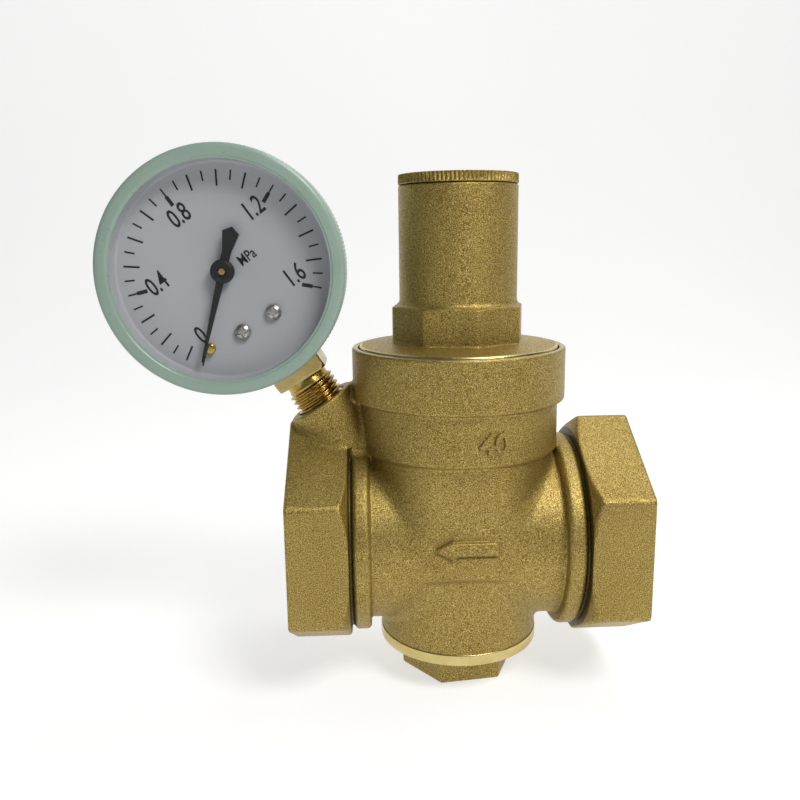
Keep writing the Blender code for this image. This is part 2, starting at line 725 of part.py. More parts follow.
def screw(name, length, x, z, front, head_r=2.0, shank_r=0.85):
    """Pan-head screw with a cross recess, its head towards the front."""
    profile = [
        (0, -1.1),
        (head_r - 0.7, -1.1),
        (head_r, -0.4),
        (head_r, 0),
        (shank_r, 0),
        (shank_r, length),
        (0, length),
    ]
    made = lathe(name, profile, STAINLESS, SMALL, TO_Y)
    wings = [
        box("wing", (-1.1, -1.3, -0.25), (1.1, -0.6, 0.25)),
        box("wing", (-0.25, -1.3, -1.1), (0.25, -0.6, 1.1)),
    ]
    combine(made, "DIFFERENCE", wings)
    made.location = Vector((x, front, z)) * MM
    return made


def dial():
    made = rod("dial", DIAL_R, DIAL_FRONT, DIAL_BACK, DIAL_WHITE, ROUND, TO_Y)
    holes = [rod("hole", 1.3, -15, -12, segments=SMALL, matrix=TO_Y)]
    for side in (1, -1):
        x = side * DIAL_SCREW_R * sin(DIAL_SCREW_SPREAD)
        z = -DIAL_SCREW_R * cos(DIAL_SCREW_SPREAD)
        holes.append(rod("hole", 1.15, -15, -12, segments=16, matrix=shift(x, 0, z) @ TO_Y))
    combine(made, "DIFFERENCE", holes)
    return made


def pointer():
    """Blade, cut-cornered tail and hub; drawn pointing up and then turned to its rest angle."""
    blade = [
        (-0.25, POINTER_TIP),
        (-1.15, 2.0),
        (-1.15, -5.2),
        (-2.15, -9.9),
        (0, -POINTER_TAIL),
        (2.15, -9.9),
        (1.15, -5.2),
        (1.15, 2.0),
        (0.25, POINTER_TIP),
    ]
    stand = Matrix.Rotation(pi / 2, 4, "X")
    made = prism("pointer", blade, -POINTER_BACK, -POINTER_FRONT, BLACK_PAINT, stand)
    hub = rod("hub", 3.0, POINTER_FRONT - 0.6, POINTER_BACK + 0.6, segments=20, matrix=TO_Y)
    combine(made, "UNION", [hub])
    combine(made, "DIFFERENCE", [rod("hole", PLATE_HOLE_R, -20, -12, segments=SMALL, matrix=TO_Y)])
    made.data.transform(Matrix.Rotation(world_to_gauge(POINTER_REST), 4, "Y"))
    return made


def gear_outline(teeth, first, count):
    """Trapezium teeth on a pitch circle, anticlockwise from the angle of the first tooth's middle."""
    pitch_r = teeth * GEAR_MODULE / 2
    tip, root = pitch_r + 0.8 * GEAR_MODULE, pitch_r - 1.2 * GEAR_MODULE
    step = 2 * pi / teeth
    outline = []
    for tooth in range(count):
        for radius, share in ((root, -0.28), (tip, -0.08), (tip, 0.08), (root, 0.28)):
            angle = first + (tooth + share) * step
            outline.append((radius * cos(angle), radius * sin(angle)))
    return outline


def facing_front(name, outline, near, far, finish=MACHINED_BRASS):
    """Extrudes an (x, z) outline between two distances in front of the gauge's stem plane."""
    return prism(name, outline, near, far, finish, Matrix.Rotation(pi / 2, 4, "X"))


def pin_hole(radius, x, z, near=0.0, far=16.0):
    return rod("hole", radius, -far, -near, segments=16, matrix=shift(x, 0, z) @ TO_Y)


def pinion():
    """Pointer arbor with its ten-tooth pinion between the plates; a tooth gap faces the sector."""
    outline = gear_outline(PINION_TEETH, SECTOR_PIVOT_ANGLE + pi / PINION_TEETH, PINION_TEETH)
    made = facing_front("pinion", outline, 4.6, 6.8)
    combine(made, "UNION", [rod("arbor", ARBOR_R, -17.1, -2.2, segments=16, matrix=TO_Y)])
    return made


def sector_gear():
    """Toothed sector with its arbor and a tail to the link, drawn about its own pivot."""
    step = 2 * pi / SECTOR_TEETH
    to_pinion = SECTOR_PIVOT_ANGLE + pi
    outline = gear_outline(SECTOR_TEETH, to_pinion - 8 * step, 10)
    made = facing_front("sector_gear", outline + [(0.2, 0.2)], 5.0, 6.4)
    tail_x, tail_z = tail_point()
    along = Vector((tail_x, tail_z)).normalized()
    across = Vector((-along.y, along.x)) * 1.2
    end = along * (TAIL_R + 1.5)
    outline = [tuple(-across), tuple(end - across), tuple(end + across), tuple(across)]
    arm = facing_front("arm", outline, 5.1, 6.3)
    hub = rod("hub", 2.4, -6.6, -4.8, segments=24, matrix=TO_Y)
    arbor = rod("arbor", ARBOR_R, -11.6, -2.2, segments=16, matrix=TO_Y)
    combine(made, "UNION", [arm, hub, arbor])
    combine(made, "DIFFERENCE", [pin_hole(0.75, tail_x, tail_z, 4, 8)])
    made.location = sector_pivot() * MM
    return made


def sector_pivot():
    reach = (PINION_TEETH + SECTOR_TEETH) * GEAR_MODULE / 2
    return Vector((reach * cos(SECTOR_PIVOT_ANGLE), 0, reach * sin(SECTOR_PIVOT_ANGLE)))


def tail_point():
    """Where the link joins the sector's tail, from the sector's pivot."""
    return TAIL_R * cos(TAIL_ANGLE), TAIL_R * sin(TAIL_ANGLE)


def link_parts():
    """Link bar from the sector's tail to the Bourdon tube's tip, and its two pins."""
    tail_x, tail_z = tail_point()
    start = sector_pivot() + Vector((tail_x, 0, tail_z))
    end = Vector((LUG_R * cos(LUG_ANGLE), 0, LUG_R * sin(LUG_ANGLE)))
    along = (end - start).normalized()
    side = Vector((-along.z, 0, along.x))
    reach = (end - start).length
    corners = [
        -along * 1.3 - side * 0.6,
        -along * 0.6 - side * 1.3,
        along * (reach + 0.6) - side * 1.3,
        along * (reach + 1.3) - side * 0.6,
        along * (reach + 1.3) + side * 0.6,
        along * (reach + 0.6) + side * 1.3,
        -along * 0.6 + side * 1.3,
        -along * 1.3 + side * 0.6,
    ]
    bar = facing_front("link", [(point.x, point.z) for point in corners], 6.8, 7.6)
    far = along * reach
    combine(bar, "DIFFERENCE", [pin_hole(0.75, 0, 0, 6, 9), pin_hole(0.75, far.x, far.z, 6, 9)])
    pins = [
        rod("link_pin_sector", 0.5, -7.9, -4.6, STAINLESS, 12, TO_Y),
        rod("link_pin_tip", 0.5, -7.9, -6.5, STAINLESS, 12, TO_Y),
    ]
    bar.location = start * MM
    pins[0].location = start * MM
    pins[1].location = end * MM
    return [bar] + pins


def movement_plate(name, near, far):
    """A flat plate with cut corners and holes for the arbors, pillars and screws."""
    left, right, low, high, cut = -8.5, 15.5, -9.2, 10.6, 2.5
    outline = [
        (left + cut, low),
        (right - cut, low),
        (right, low + cut),
        (right, high - cut),
        (right - cut, high),
        (left + cut, high),
        (left, high - cut),
        (left, low + cut),
    ]
    made = facing_front(name, outline, near, far)
    pivot = sector_pivot()
    holes = [pin_hole(PLATE_HOLE_R, x, z, near - 1, far + 1) for x, z in ((0, 0), (pivot.x, pivot.z))]
    if name == "movement_back_plate":
        for side in (1, -1):
            x = side * MOVEMENT_SCREW_X
            holes.append(pin_hole(PLATE_HOLE_R, x, MOVEMENT_SCREW_Z, near - 1, far + 1))
    combine(made, "DIFFERENCE", holes)
    return made


def bourdon_tube():
    """Flattened tube bent three quarters of the way round inside the case, closed by a tip with a lug."""
    first, last = radians(257), radians(-21)
    steps = 44
    path = []
    for step in range(steps + 1):
        angle = first + (last - first) * step / steps
        outward = Vector((cos(angle), 0, sin(angle)))
        path.append((outward * BOURDON_R + Vector((0, -4.2, 0)), outward, Vector((0, -1, 0))))
    side = [(-1.2, 2.4), (-1.2, -2.4), (-0.6, -4.0), (0.6, -4.0)]
    section = side + [(-x, -y) for x, y in side]
    coil = sweep("bourdon_tube", path, section, MACHINED_BRASS)

    def around(radius, angle):
        return radius * cos(angle), radius * sin(angle)

    start, end = radians(-21.8), radians(-28)
    block = [around(21.7, start), around(21.7, end), around(24.7, end), around(24.7, start)]
    tip = facing_front("tube_tip", block, 0.4, 8.0)
    corners = ((17.2, -21.5), (17.2, -27.5), (22.5, -27.5), (22.5, -22.5))
    lug = [around(radius, radians(angle)) for radius, angle in corners]
    combine(tip, "UNION", [facing_front("lug", lug, 5.0, 6.2)])
    combine(tip, "DIFFERENCE", [pin_hole(0.6, *around(LUG_R, LUG_ANGLE), 4, 7)])
    return [coil, tip]


def hairspring():
    """Flat spiral that takes the play out of the movement."""
    turns, per_turn = 3.2, 16
    path = []
    steps = int(turns * per_turn)
    for step in range(steps + 1):
        angle = 2 * pi * step / per_turn
        radius = 1.7 + 3.8 * step / steps
        outward = Vector((cos(angle), 0, sin(angle)))
        path.append((outward * radius + Vector((0, -8.8, 0)), outward, Vector((0, 1, 0))))
    return sweep("hairspring", path, [(-0.1, -0.4), (0.1, -0.4), (0.1, 0.4), (-0.1, 0.4)], SPRING_STEEL)


def gauge():
    parts = [gauge_socket(), gauge_case(), bezel(), dial()]
    parts += [pointer(), pinion(), sector_gear(), hairspring()]
    parts += link_parts() + bourdon_tube()
    parts.append(rod("window", GLASS_R, GLASS_FRONT, GLASS_BACK, GLASS, ROUND, TO_Y))
    parts.append(tube("window_gasket", GASKET_R, GLASS_R, -17.2, -16.7, WHITE_PLASTIC, 48, TO_Y))
    parts.append(rod("zero_stop_pin", 1.45, -15.3, -14.0, MACHINED_BRASS, 16, TO_Y))
    parts[-1].location = clock(world_to_gauge(STOP_PIN_ANGLE), STOP_PIN_R) * MM
    reach_x, reach_z = DIAL_SCREW_R * sin(DIAL_SCREW_SPREAD), -DIAL_SCREW_R * cos(DIAL_SCREW_SPREAD)
    for name, side in (("left", -1), ("right", 1)):
        parts.append(screw("dial_screw_" + name, 5.0, side * reach_x, reach_z, -14.1))
        x = side * MOVEMENT_SCREW_X
        parts.append(screw("movement_screw_" + name, 4.5, x, MOVEMENT_SCREW_Z, -4.1, 1.6, 0.75))
    parts.append(movement_plate("movement_back_plate", 2.6, 3.8))
    parts.append(movement_plate("movement_front_plate", 10.1, 11.3))
    for name, x, z in (("upper", -5.5, 8.0), ("lower", 10.5, -6.8)):
        pillar = rod("movement_pillar_" + name, 1.2, -9.8, -4.1, MACHINED_BRASS, 16, TO_Y)
        pillar.location = Vector((x, 0, z)) * MM
        parts.append(pillar)
    stand = bpy.data.objects.new("gauge_frame", None)
    bpy.context.scene.collection.objects.link(stand)
    for item in parts:
        item.parent = stand
    stand.location = Vector((GAUGE_X, 0, GAUGE_Z)) * MM
    stand.rotation_euler = (0, -STEM_LEAN, 0)
    return parts


valve_body()
bonnet()
tube("bonnet_gasket", PISTON_BORE_R + 0.5, BONNET_THREAD_R - 0.4, 80.3, 81.9, WHITE_PLASTIC, MEDIUM)
cap()
tube(
    "cap_seal", TOWER_BORE_R + 0.5, SEAL_GROOVE_R - GAP,
    SEAL_GROOVE_Z + GAP, CAP_BOTTOM - GAP, BLACK_RUBBER, 32,
)
adjusting_screw()
lathe("upper_spring_seat", [
    (0, 112.5),
    (7.0, 112.5),
    (7.6, 113.1),
    (7.6, SPRING_TOP + GAP),
    (12.4, SPRING_TOP + GAP),
    (12.4, SCREW_BOTTOM - GAP),
    (5.3, SCREW_BOTTOM - GAP),
    (5.3, SCREW_BOTTOM - 2.3),
    (0, SCREW_BOTTOM - 2.3),
], STAINLESS, MEDIUM)
adjusting_spring()
moving_group()
seat_parts()
bottom_plug()
tube("plug_gasket", 18.6, 21.8, PLUG_FLANGE_TOP + 0.15, NECK_BOTTOM - 0.15, WHITE_PLASTIC, 32)
gauge()

for item in bpy.data.objects:
    if item.type == "MESH":
        smooth(item)
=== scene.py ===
"""Looks of the pressure reducing valve: cast and turned brass, a green gauge, light and camera.

Lengths are millimetres in the shape code and metres in the meshes. The frame is the CAD's: origin at the
centre of the bottom plug's face, +Z up, -Y to the front, -X towards the outlet and the gauge.
"""
import json
from math import atan2, cos, pi, radians, sin, sqrt

import bmesh
import bpy
import numpy as np
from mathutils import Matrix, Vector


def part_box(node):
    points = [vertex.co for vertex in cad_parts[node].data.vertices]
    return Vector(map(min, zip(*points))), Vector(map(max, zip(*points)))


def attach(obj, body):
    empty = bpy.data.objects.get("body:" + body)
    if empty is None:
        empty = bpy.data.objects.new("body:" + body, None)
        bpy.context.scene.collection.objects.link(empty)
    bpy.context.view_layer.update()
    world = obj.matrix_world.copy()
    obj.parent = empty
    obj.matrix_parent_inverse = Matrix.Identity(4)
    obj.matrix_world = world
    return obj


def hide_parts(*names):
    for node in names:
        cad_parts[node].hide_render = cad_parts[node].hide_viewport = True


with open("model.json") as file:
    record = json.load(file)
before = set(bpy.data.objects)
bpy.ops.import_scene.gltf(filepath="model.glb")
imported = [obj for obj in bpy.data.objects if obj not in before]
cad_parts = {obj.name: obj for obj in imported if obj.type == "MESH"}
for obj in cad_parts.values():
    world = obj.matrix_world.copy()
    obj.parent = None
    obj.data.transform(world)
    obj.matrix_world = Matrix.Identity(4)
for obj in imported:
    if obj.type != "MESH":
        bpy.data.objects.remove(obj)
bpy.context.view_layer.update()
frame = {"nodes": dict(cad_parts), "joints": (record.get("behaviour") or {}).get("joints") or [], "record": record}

import openvdb
from mathutils import Matrix, Vector

MM = 0.001
STEP = 0.35  # grid step of the cast shapes


def joint(name):
    return next(item for item in frame["joints"] if item["name"] == name)


def low_of(node):
    return Vector(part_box(node)[0]) / MM


def high_of(node):
    return Vector(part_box(node)[1]) / MM


# ---------------------------------------------------------------- sizes
PORT_Z = 40.2
INLET_END = high_of("valve_body").x
OUTLET_END = -low_of("valve_body").x
PORT_FLAT = 28.5
HEX_LENGTH = 16.2
THREAD_MINOR = 22.4
THREAD_MAJOR = 23.9
THREAD_PITCH = 2.309
THREAD_DEPTH = 19.0
RUN_R = 24.0
RUN_BORE = 19.5
BEAD_R = 27.2
BEAD_WIDTH = 4.7
GROOVE_R = 26.0
BEAD_TO_HEX = 0.8
NECK_R = 22.3
NECK_BOTTOM = low_of("valve_body").z
WAIST_R = 26.0
WAIST_BOTTOM = 34.7
PANEL_Y = 24.4
BELL_R, BELL_BOTTOM = 27.37, 65.5
RING_R, RING_BOTTOM = 29.27, 79.5
BODY_TOP = high_of("valve_body").z
COUNTERBORE_R, COUNTERBORE_Z = 27.6, 91.1
PISTON_BORE_R, PISTON_BORE_Z = 21.5, 67.6
CHAMBER_R = 18.0
WEB_TOP, WEB_BOTTOM = 43.0, 38.0
SEAT_HOLE_R = 14.0
PLUG_BORE_R = 18.3
PASSAGE_X = 22.0
BOSS_X, BOSS_Z, BOSS_R = -38.2, 78.8, 9.5
BOSS_BORE_R, BOSS_BORE_DEPTH = 7.05, 13.0
ARROW_Z = 43.6
ARROW_TIP, ARROW_NECK, ARROW_TAIL = -8.5, -3.4, 8.2
ARROW_HEAD, ARROW_SHAFT = 2.9, 1.8  # half heights

DISC_R, DISC_TOP, DISC_RIM_TOP = 27.2, 95.2, 94.1
OCTAGON_R, OCTAGON_TURN, OCTAGON_TOP = 18.5, radians(-12.5), 104.9
TOWER_R, TOWER_TOP, TOWER_BORE = 16.0, 136.4, 13.2
SEAL_GROOVE_R, SEAL_GROOVE_Z = 14.9, 135.5
CAP_BOTTOM, CAP_TOP, CAP_R = 136.6, high_of("cap").z, 16.03

FLANGE_R, FLANGE_BOTTOM, FLANGE_TOP = 22.55, 8.7, 12.3
PLUG_HEX_R, PLUG_HEX_TURN = 16.6, radians(7.7)

NUMERALS_TURN = radians(13.5)  # the size numerals stand right of the middle

GAUGE_AT = Vector(joint("pointer_turn")["pos_m"])
GAUGE_LEAN = atan2(BOSS_X * MM - GAUGE_AT.x, GAUGE_AT.z - BOSS_Z * MM)
GAUGE_REACH = (GAUGE_AT - Vector((BOSS_X, 0, BOSS_Z)) * MM).length / MM
GAUGE = Matrix.Translation(GAUGE_AT) @ Matrix.Rotation(-GAUGE_LEAN, 4, "Y")
BEZEL_R, BEZEL_WINDOW_R = 31.0, 27.0
BEZEL_FRONT, BEZEL_BACK = -20.0, -2.5
CASE_R, CASE_BACK = 29.9, 9.0
DIAL_FRONT = -13.8
DIAL_TURN = radians(-35.5)  # the dial sits turned anticlockwise from upright
# Text of each numeral, its clock angle in degrees and its distance from the centre.
NUMERALS = (
    ("0", -158.2, 17.5),
    ("0.4", -100.1, 17.0),
    ("0.8", -36.5, 17.1),
    ("1.2", 28.0, 17.3),
    ("1.6", 94.2, 17.8),
)
SCALE_START, SCALE_SWEEP = radians(-171.5), radians(272)  # clock angles seen from the front
POINTER_REST = radians(-164.6)
SOCKET_BOTTOM, SOCKET_HALF = -34.8, 7.2

TO_Y = Matrix.Rotation(-pi / 2, 4, "X")


# ---------------------------------------------------------------- materials
class Shader:
    """A small wrapper that keeps node code short."""

    def __init__(self, name):
        self.material = bpy.data.materials.new(name)
        self.material.use_nodes = True
        self.tree = self.material.node_tree
        self.main = self.tree.nodes["Principled BSDF"]
        self.place = self.tree.nodes.new("ShaderNodeTexCoord").outputs["Object"]

    def node(self, kind, **inputs):
        made = self.tree.nodes.new("ShaderNode" + kind)
        for key, value in inputs.items():
            self.put(made.inputs[key.replace("_", " ")], value)
        return made

    def put(self, socket, value):
        if isinstance(value, bpy.types.NodeSocket):
            self.tree.links.new(value, socket)
        else:
            socket.default_value = value

    def noise(self, per_mm, detail=2.0, roughness=0.5, stretch=None):
        """Noise with this many features to a millimetre, from 0 to 1."""
        place = self.place
        if stretch:
            mapping = self.node("Mapping", Vector=self.place)
            mapping.inputs["Scale"].default_value = stretch
            place = mapping.outputs["Vector"]
        made = self.node("TexNoise", Vector=place, Scale=per_mm / MM, Detail=detail, Roughness=roughness)
        return made.outputs["Fac"]

    def ramp(self, factor, *stops):
        made = self.tree.nodes.new("ShaderNodeValToRGB")
        self.put(made.inputs["Fac"], factor)
        points = made.color_ramp.elements
        while len(points) < len(stops):
            points.new(0.5)
        for point, (place, colour) in zip(points, stops):
            point.position = place
            point.color = (*colour, 1.0) if isinstance(colour, tuple) else (colour, colour, colour, 1.0)
        return made.outputs["Color"]

    def mix(self, factor, first, second, blend="MIX"):
        made = self.tree.nodes.new("ShaderNodeMix")
        made.data_type = "RGBA"
        made.blend_type = blend
        self.put(made.inputs[0], factor)
        self.put(made.inputs[6], first if isinstance(first, bpy.types.NodeSocket) else (*first, 1.0))
        self.put(made.inputs[7], second if isinstance(second, bpy.types.NodeSocket) else (*second, 1.0))
        return made.outputs[2]

    def bump(self, height, distance_mm, strength=1.0, under=None):
        made = self.node("Bump", Height=height, Distance=distance_mm * MM, Strength=strength)
        if under is not None:
            self.put(made.inputs["Normal"], under)
        return made.outputs["Normal"]

    def set(self, **inputs):
        for key, value in inputs.items():
            if isinstance(value, tuple):
                value = (*value, 1.0)
            self.put(self.main.inputs[key.replace("_", " ")], value)
        return self.material


def cast_brass(name="cast brass", tone=1.0):
    """Shot-blasted forging: olive gold with a fine sparkle, browner in patches."""

    def shade(red, green, blue):
        return red * tone, green * tone, blue * tone

    look = Shader(name)
    grain = look.noise(4.6, 2.0, 0.65)
    coarse = look.noise(1.3, 2.0, 0.5)
    patches = look.noise(0.05, 2.0, 0.5)
    dark, middle, bright = shade(0.090, 0.056, 0.010), shade(0.315, 0.222, 0.050), shade(0.720, 0.560, 0.190)
    fine = look.ramp(grain, (0.34, dark), (0.50, middle), (0.64, bright))
    dark, middle, bright = shade(0.070, 0.040, 0.007), shade(0.270, 0.182, 0.038), shade(0.640, 0.480, 0.150)
    warm = look.ramp(grain, (0.34, dark), (0.50, middle), (0.64, bright))
    colour = look.mix(look.ramp(patches, (0.42, 0.0), (0.66, 0.6)), fine, warm)
    rough = look.ramp(coarse, (0.3, 0.52), (0.7, 0.36))
    normal = look.bump(coarse, 0.14, 0.6)
    normal = look.bump(grain, 0.10, 0.9, normal)
    return look.set(Base_Color=colour, Metallic=0.75, Roughness=rough, Normal=normal)


def turned_brass(
    name="turned brass", colour=(0.72, 0.58, 0.26), dark=(0.50, 0.36, 0.12), rough=(0.18, 0.34), turn_axis=2
):
    """Machined brass: faint tool lines round the turning axis and light tarnish."""
    look = Shader(name)
    stretch = [0.03, 0.03, 0.03]
    stretch[turn_axis] = 1.0
    lines = look.noise(4.0, 3.0, 0.6, stretch)
    tarnish = look.noise(0.12, 3.0, 0.6)
    speck = look.noise(1.5, 2.0, 0.5)
    base = look.mix(look.ramp(tarnish, (0.40, 0.0), (0.68, 0.7)), colour, dark)
    base = look.mix(look.ramp(speck, (0.66, 0.0), (0.78, 0.35)), base, dark)
    roughness = look.ramp(lines, (0.3, rough[0]), (0.7, rough[1]))
    return look.set(Base_Color=base, Metallic=1.0, Roughness=roughness, Normal=look.bump(lines, 0.02, 0.5))


def steel(name="turned steel", colour=(0.56, 0.55, 0.53), dark=(0.36, 0.35, 0.33)):
    look = Shader(name)
    fine = look.noise(3.0, 3.0, 0.6, (1.0, 1.0, 0.2))
    stain = look.noise(0.3, 2.0, 0.5)
    base = look.mix(look.ramp(stain, (0.4, 0.0), (0.7, 0.6)), colour, dark)
    return look.set(
        Base_Color=base,
        Metallic=1.0,
        Roughness=look.ramp(fine, (0.3, 0.22), (0.7, 0.40)),
        Normal=look.bump(fine, 0.015, 0.5),
    )


def rubber():
    look = Shader("rubber")
    fine = look.noise(3.0, 3.0, 0.6)
    base = look.ramp(fine, (0.3, (0.012, 0.012, 0.012)), (0.7, (0.035, 0.034, 0.033)))
    return look.set(
        Base_Color=base,
        Roughness=look.ramp(fine, (0.3, 0.60), (0.7, 0.80)),
        Normal=look.bump(fine, 0.03, 0.5),
    )


def white_seal():
    look = Shader("white seal")
    fine = look.noise(1.2, 3.0, 0.6)
    base = look.ramp(fine, (0.3, (0.60, 0.60, 0.56)), (0.7, (0.74, 0.73, 0.69)))
    return look.set(
        Base_Color=base,
        Roughness=look.ramp(fine, (0.3, 0.40), (0.7, 0.60)),
        Normal=look.bump(fine, 0.02, 0.5),
    )


def green_paint():
    """Pale green enamel with slight orange peel and faint dust."""
    look = Shader("green enamel")
    peel = look.noise(0.8, 2.0, 0.5)
    dust = look.noise(0.10, 3.0, 0.6)
    fine = look.noise(5.0, 2.0, 0.5)
    base = look.mix(look.ramp(dust, (0.35, 0.0), (0.75, 0.6)), (0.250, 0.345, 0.290), (0.300, 0.385, 0.335))
    base = look.mix(look.ramp(fine, (0.62, 0.0), (0.80, 0.25)), base, (0.40, 0.47, 0.43))
    return look.set(
        Base_Color=base,
        Roughness=look.ramp(peel, (0.3, 0.26), (0.7, 0.38)),
        Normal=look.bump(peel, 0.03, 0.35),
    )


def dial_face():
    look = Shader("dial face")
    fine = look.noise(6.0, 2.0, 0.5)
    cloud = look.noise(0.08, 2.0, 0.5)
    base = look.ramp(fine, (0.3, (0.360, 0.372, 0.402)), (0.7, (0.400, 0.412, 0.442)))
    base = look.mix(look.ramp(cloud, (0.4, 0.0), (0.7, 0.3)), base, (0.410, 0.418, 0.440))
    return look.set(
        Base_Color=base,
        Roughness=look.ramp(fine, (0.3, 0.45), (0.7, 0.6)),
        Normal=look.bump(fine, 0.01, 0.4),
    )


def black_ink(name="black ink", rough=(0.50, 0.65), tone=0.003):
    look = Shader(name)
    fine = look.noise(4.0, 2.0, 0.5)
    base = look.ramp(fine, (0.3, (tone, tone, tone)), (0.7, (2.2 * tone, 2.2 * tone, 2.4 * tone)))
    return look.set(
        Base_Color=base,
        Roughness=look.ramp(fine, (0.3, rough[0]), (0.7, rough[1])),
        Normal=look.bump(fine, 0.01, 0.3),
    )


def clear_glass():
    """Thin window: mostly see-through, with a faint dusty haze."""
    look = Shader("clear glass")
    haze = look.noise(0.10, 3.0, 0.6)
    made = look.set(
        Base_Color=look.ramp(haze, (0.3, (0.05, 0.06, 0.06)), (0.7, (0.16, 0.17, 0.17))),
        Roughness=look.ramp(haze, (0.3, 0.03), (0.7, 0.07)),
    )
    look.main.inputs["Alpha"].default_value = 0.02
    return made


CAST = cast_brass()
# Cast brass darkened to 0.30: painted shade for the creases between each collar bead and its hexagon.
GROOVE_PAINTED_SHADE = cast_brass("cast brass with painted shade in the grooves", 0.30)
TURNED = turned_brass()
BRIGHT = turned_brass("bright brass", (0.66, 0.55, 0.24), (0.52, 0.40, 0.15), (0.20, 0.34))
# Darker brass for the gauge socket: painted shade for the dark surroundings it reflects under the gauge.
SOCKET_PAINTED_SHADE = turned_brass("socket brass with painted shade", (0.46, 0.36, 0.15), (0.30, 0.22, 0.07), (0.18, 0.32))
FACED = turned_brass("faced brass", (0.52, 0.45, 0.28), (0.40, 0.33, 0.17), (0.30, 0.45))
THREADED = turned_brass("threaded brass", (0.50, 0.36, 0.11), (0.30, 0.19, 0.045), (0.15, 0.30))
STEEL = steel()
WIRE = steel("spring wire", (0.30, 0.30, 0.31), (0.17, 0.16, 0.15))
RUBBER = rubber()
SEAL = white_seal()
GREEN = green_paint()
FACE = dial_face()
INK = black_ink()
POINTER_BLACK = black_ink("pointer black", (0.40, 0.52), 0.003)
WINDOW = clear_glass()


# ---------------------------------------------------------------- mesh helpers
def mesh_of(name, points, faces, matrix=None):
    """A mesh from an array of points in millimetres and an array of same-sided faces."""
    points = np.asarray(points, np.float64) * MM
    faces = np.asarray(faces, np.int32)
    mesh = bpy.data.meshes.new(name)
    mesh.vertices.add(len(points))
    mesh.vertices.foreach_set("co", points.astype(np.float32).ravel())
    count, sides = faces.shape
    mesh.loops.add(count * sides)
    mesh.loops.foreach_set("vertex_index", faces.ravel())
    mesh.polygons.add(count)
    mesh.polygons.foreach_set("loop_start", np.arange(0, count * sides, sides, dtype=np.int32))
    mesh.update(calc_edges=True)
    mesh.validate()
    if matrix is not None:
        mesh.transform(matrix)
    return mesh


def piece(name, mesh, body, finish, angle=35.0, replaces=()):
    """Puts a mesh in the scene as one piece of the object, riding on a CAD body."""
    made = bpy.data.objects.new(name, mesh)
    bpy.context.scene.collection.objects.link(made)
    for item in finish if isinstance(finish, tuple) else (finish,):
        mesh.materials.append(item)
    mesh.shade_smooth()
    mesh.set_sharp_from_angle(angle=radians(angle))
    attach(made, body)
    if replaces:
        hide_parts(*replaces)
    return made


def rings_mesh(name, rings, matrix=None, closed=False):
    """A skin through rings of points, an array (ring, step, 3).

    The ends are capped unless it closes on itself.
    """
    rings = np.asarray(rings, float)
    count, steps, _ = rings.shape
    index = np.arange(count * steps).reshape(count, steps)
    last = count if closed else count - 1
    low = index[:last]
    high = np.roll(index, -1, axis=0)[:last]
    faces = np.stack([low, np.roll(low, -1, 1), np.roll(high, -1, 1), high], -1).reshape(-1, 4)
    mesh = mesh_of(name, rings.reshape(-1, 3), faces, matrix)
    if not closed:
        work = bmesh.new()
        work.from_mesh(mesh)
        work.verts.ensure_lookup_table()
        bmesh.ops.contextual_create(work, geom=[work.verts[i] for i in index[0]])
        bmesh.ops.contextual_create(work, geom=[work.verts[i] for i in index[-1]])
        bmesh.ops.recalc_face_normals(work, faces=work.faces)
        work.to_mesh(mesh)
        work.free()
    return mesh


def rounded(profile, radius, arc=3):
    """Rounds the corners of a (radius, height) profile; a corner given a third value uses that radius."""
    corners = [Vector(point[:2]) for point in profile]
    wanted = [point[2] if len(point) > 2 else radius for point in profile]
    made = []
    for at, corner in enumerate(corners):
        before = corners[at - 1] - corner
        after = corners[(at + 1) % len(corners)] - corner
        half = before.angle(after) / 2 if before.length and after.length else pi / 2
        reach = min(wanted[at] / max(tan_of(half), 1e-6), before.length * 0.45, after.length * 0.45)
        if reach < 0.01 or abs(half - pi / 2) < 0.01:
            made.append(tuple(corner))
            continue
        start, end = corner + before.normalized() * reach, corner + after.normalized() * reach
        for step in range(arc + 1):
            t = step / arc
            made.append(tuple(start * (1 - t) ** 2 + corner * 2 * t * (1 - t) + end * t * t))
    return made


def tan_of(angle):
    return sin(angle) / cos(angle)


def turned(name, profile, matrix=None, segments=160, radius=0.25, ripple=None):
    """Turns a closed (radius, height) loop about Z. ripple(angles, radii, heights) gives new radii."""
    loop = np.array(rounded(profile, radius))
    angles = np.linspace(0, 2 * pi, segments, endpoint=False)
    radii = np.repeat(loop[:, :1], segments, 1)
    heights = np.repeat(loop[:, 1:2], segments, 1)
    if ripple:
        radii = ripple(angles[None, :], radii, heights)
    rings = np.stack([radii * np.cos(angles), radii * np.sin(angles), heights], -1)
    return rings_mesh(name, rings, matrix, closed=True)


def knurl(teeth, depth, low, high, least_r):
    """Straight knurl on the outer wall between two heights."""

    def ripple(angles, radii, heights):
        wave = np.abs(((angles * teeth / (2 * pi)) % 1.0) * 2 - 1)
        inside = (heights >= low) & (heights <= high) & (radii >= least_r)
        return radii - np.where(inside, depth * wave, 0)

    return ripple


def threaded_wall(minor, major, pitch, low, high, segments=96, rows_per_pitch=10, outward=True):
    """Rings of a one-start helical thread between two heights, its form fading out at both ends."""
    rows = int((high - low) / pitch * rows_per_pitch) + 1
    heights = np.linspace(low, high, rows)[:, None]
    angles = np.linspace(0, 2 * pi, segments, endpoint=False)[None, :]
    phase = (heights / pitch - angles / (2 * pi)) % 1.0
    form = np.clip((np.abs(phase * 2 - 1) - 0.12) / 0.72, 0, 1)
    fade = np.clip(np.minimum(heights - low, high - heights) / (0.5 * pitch), 0, 1)
    if outward:
        radii = minor + (major - minor) * form * fade
    else:
        radii = minor + (major - minor) * (1 - form) * fade
    full = np.broadcast_to(heights, radii.shape)
    return np.stack([radii * np.cos(angles), radii * np.sin(angles), full], -1)


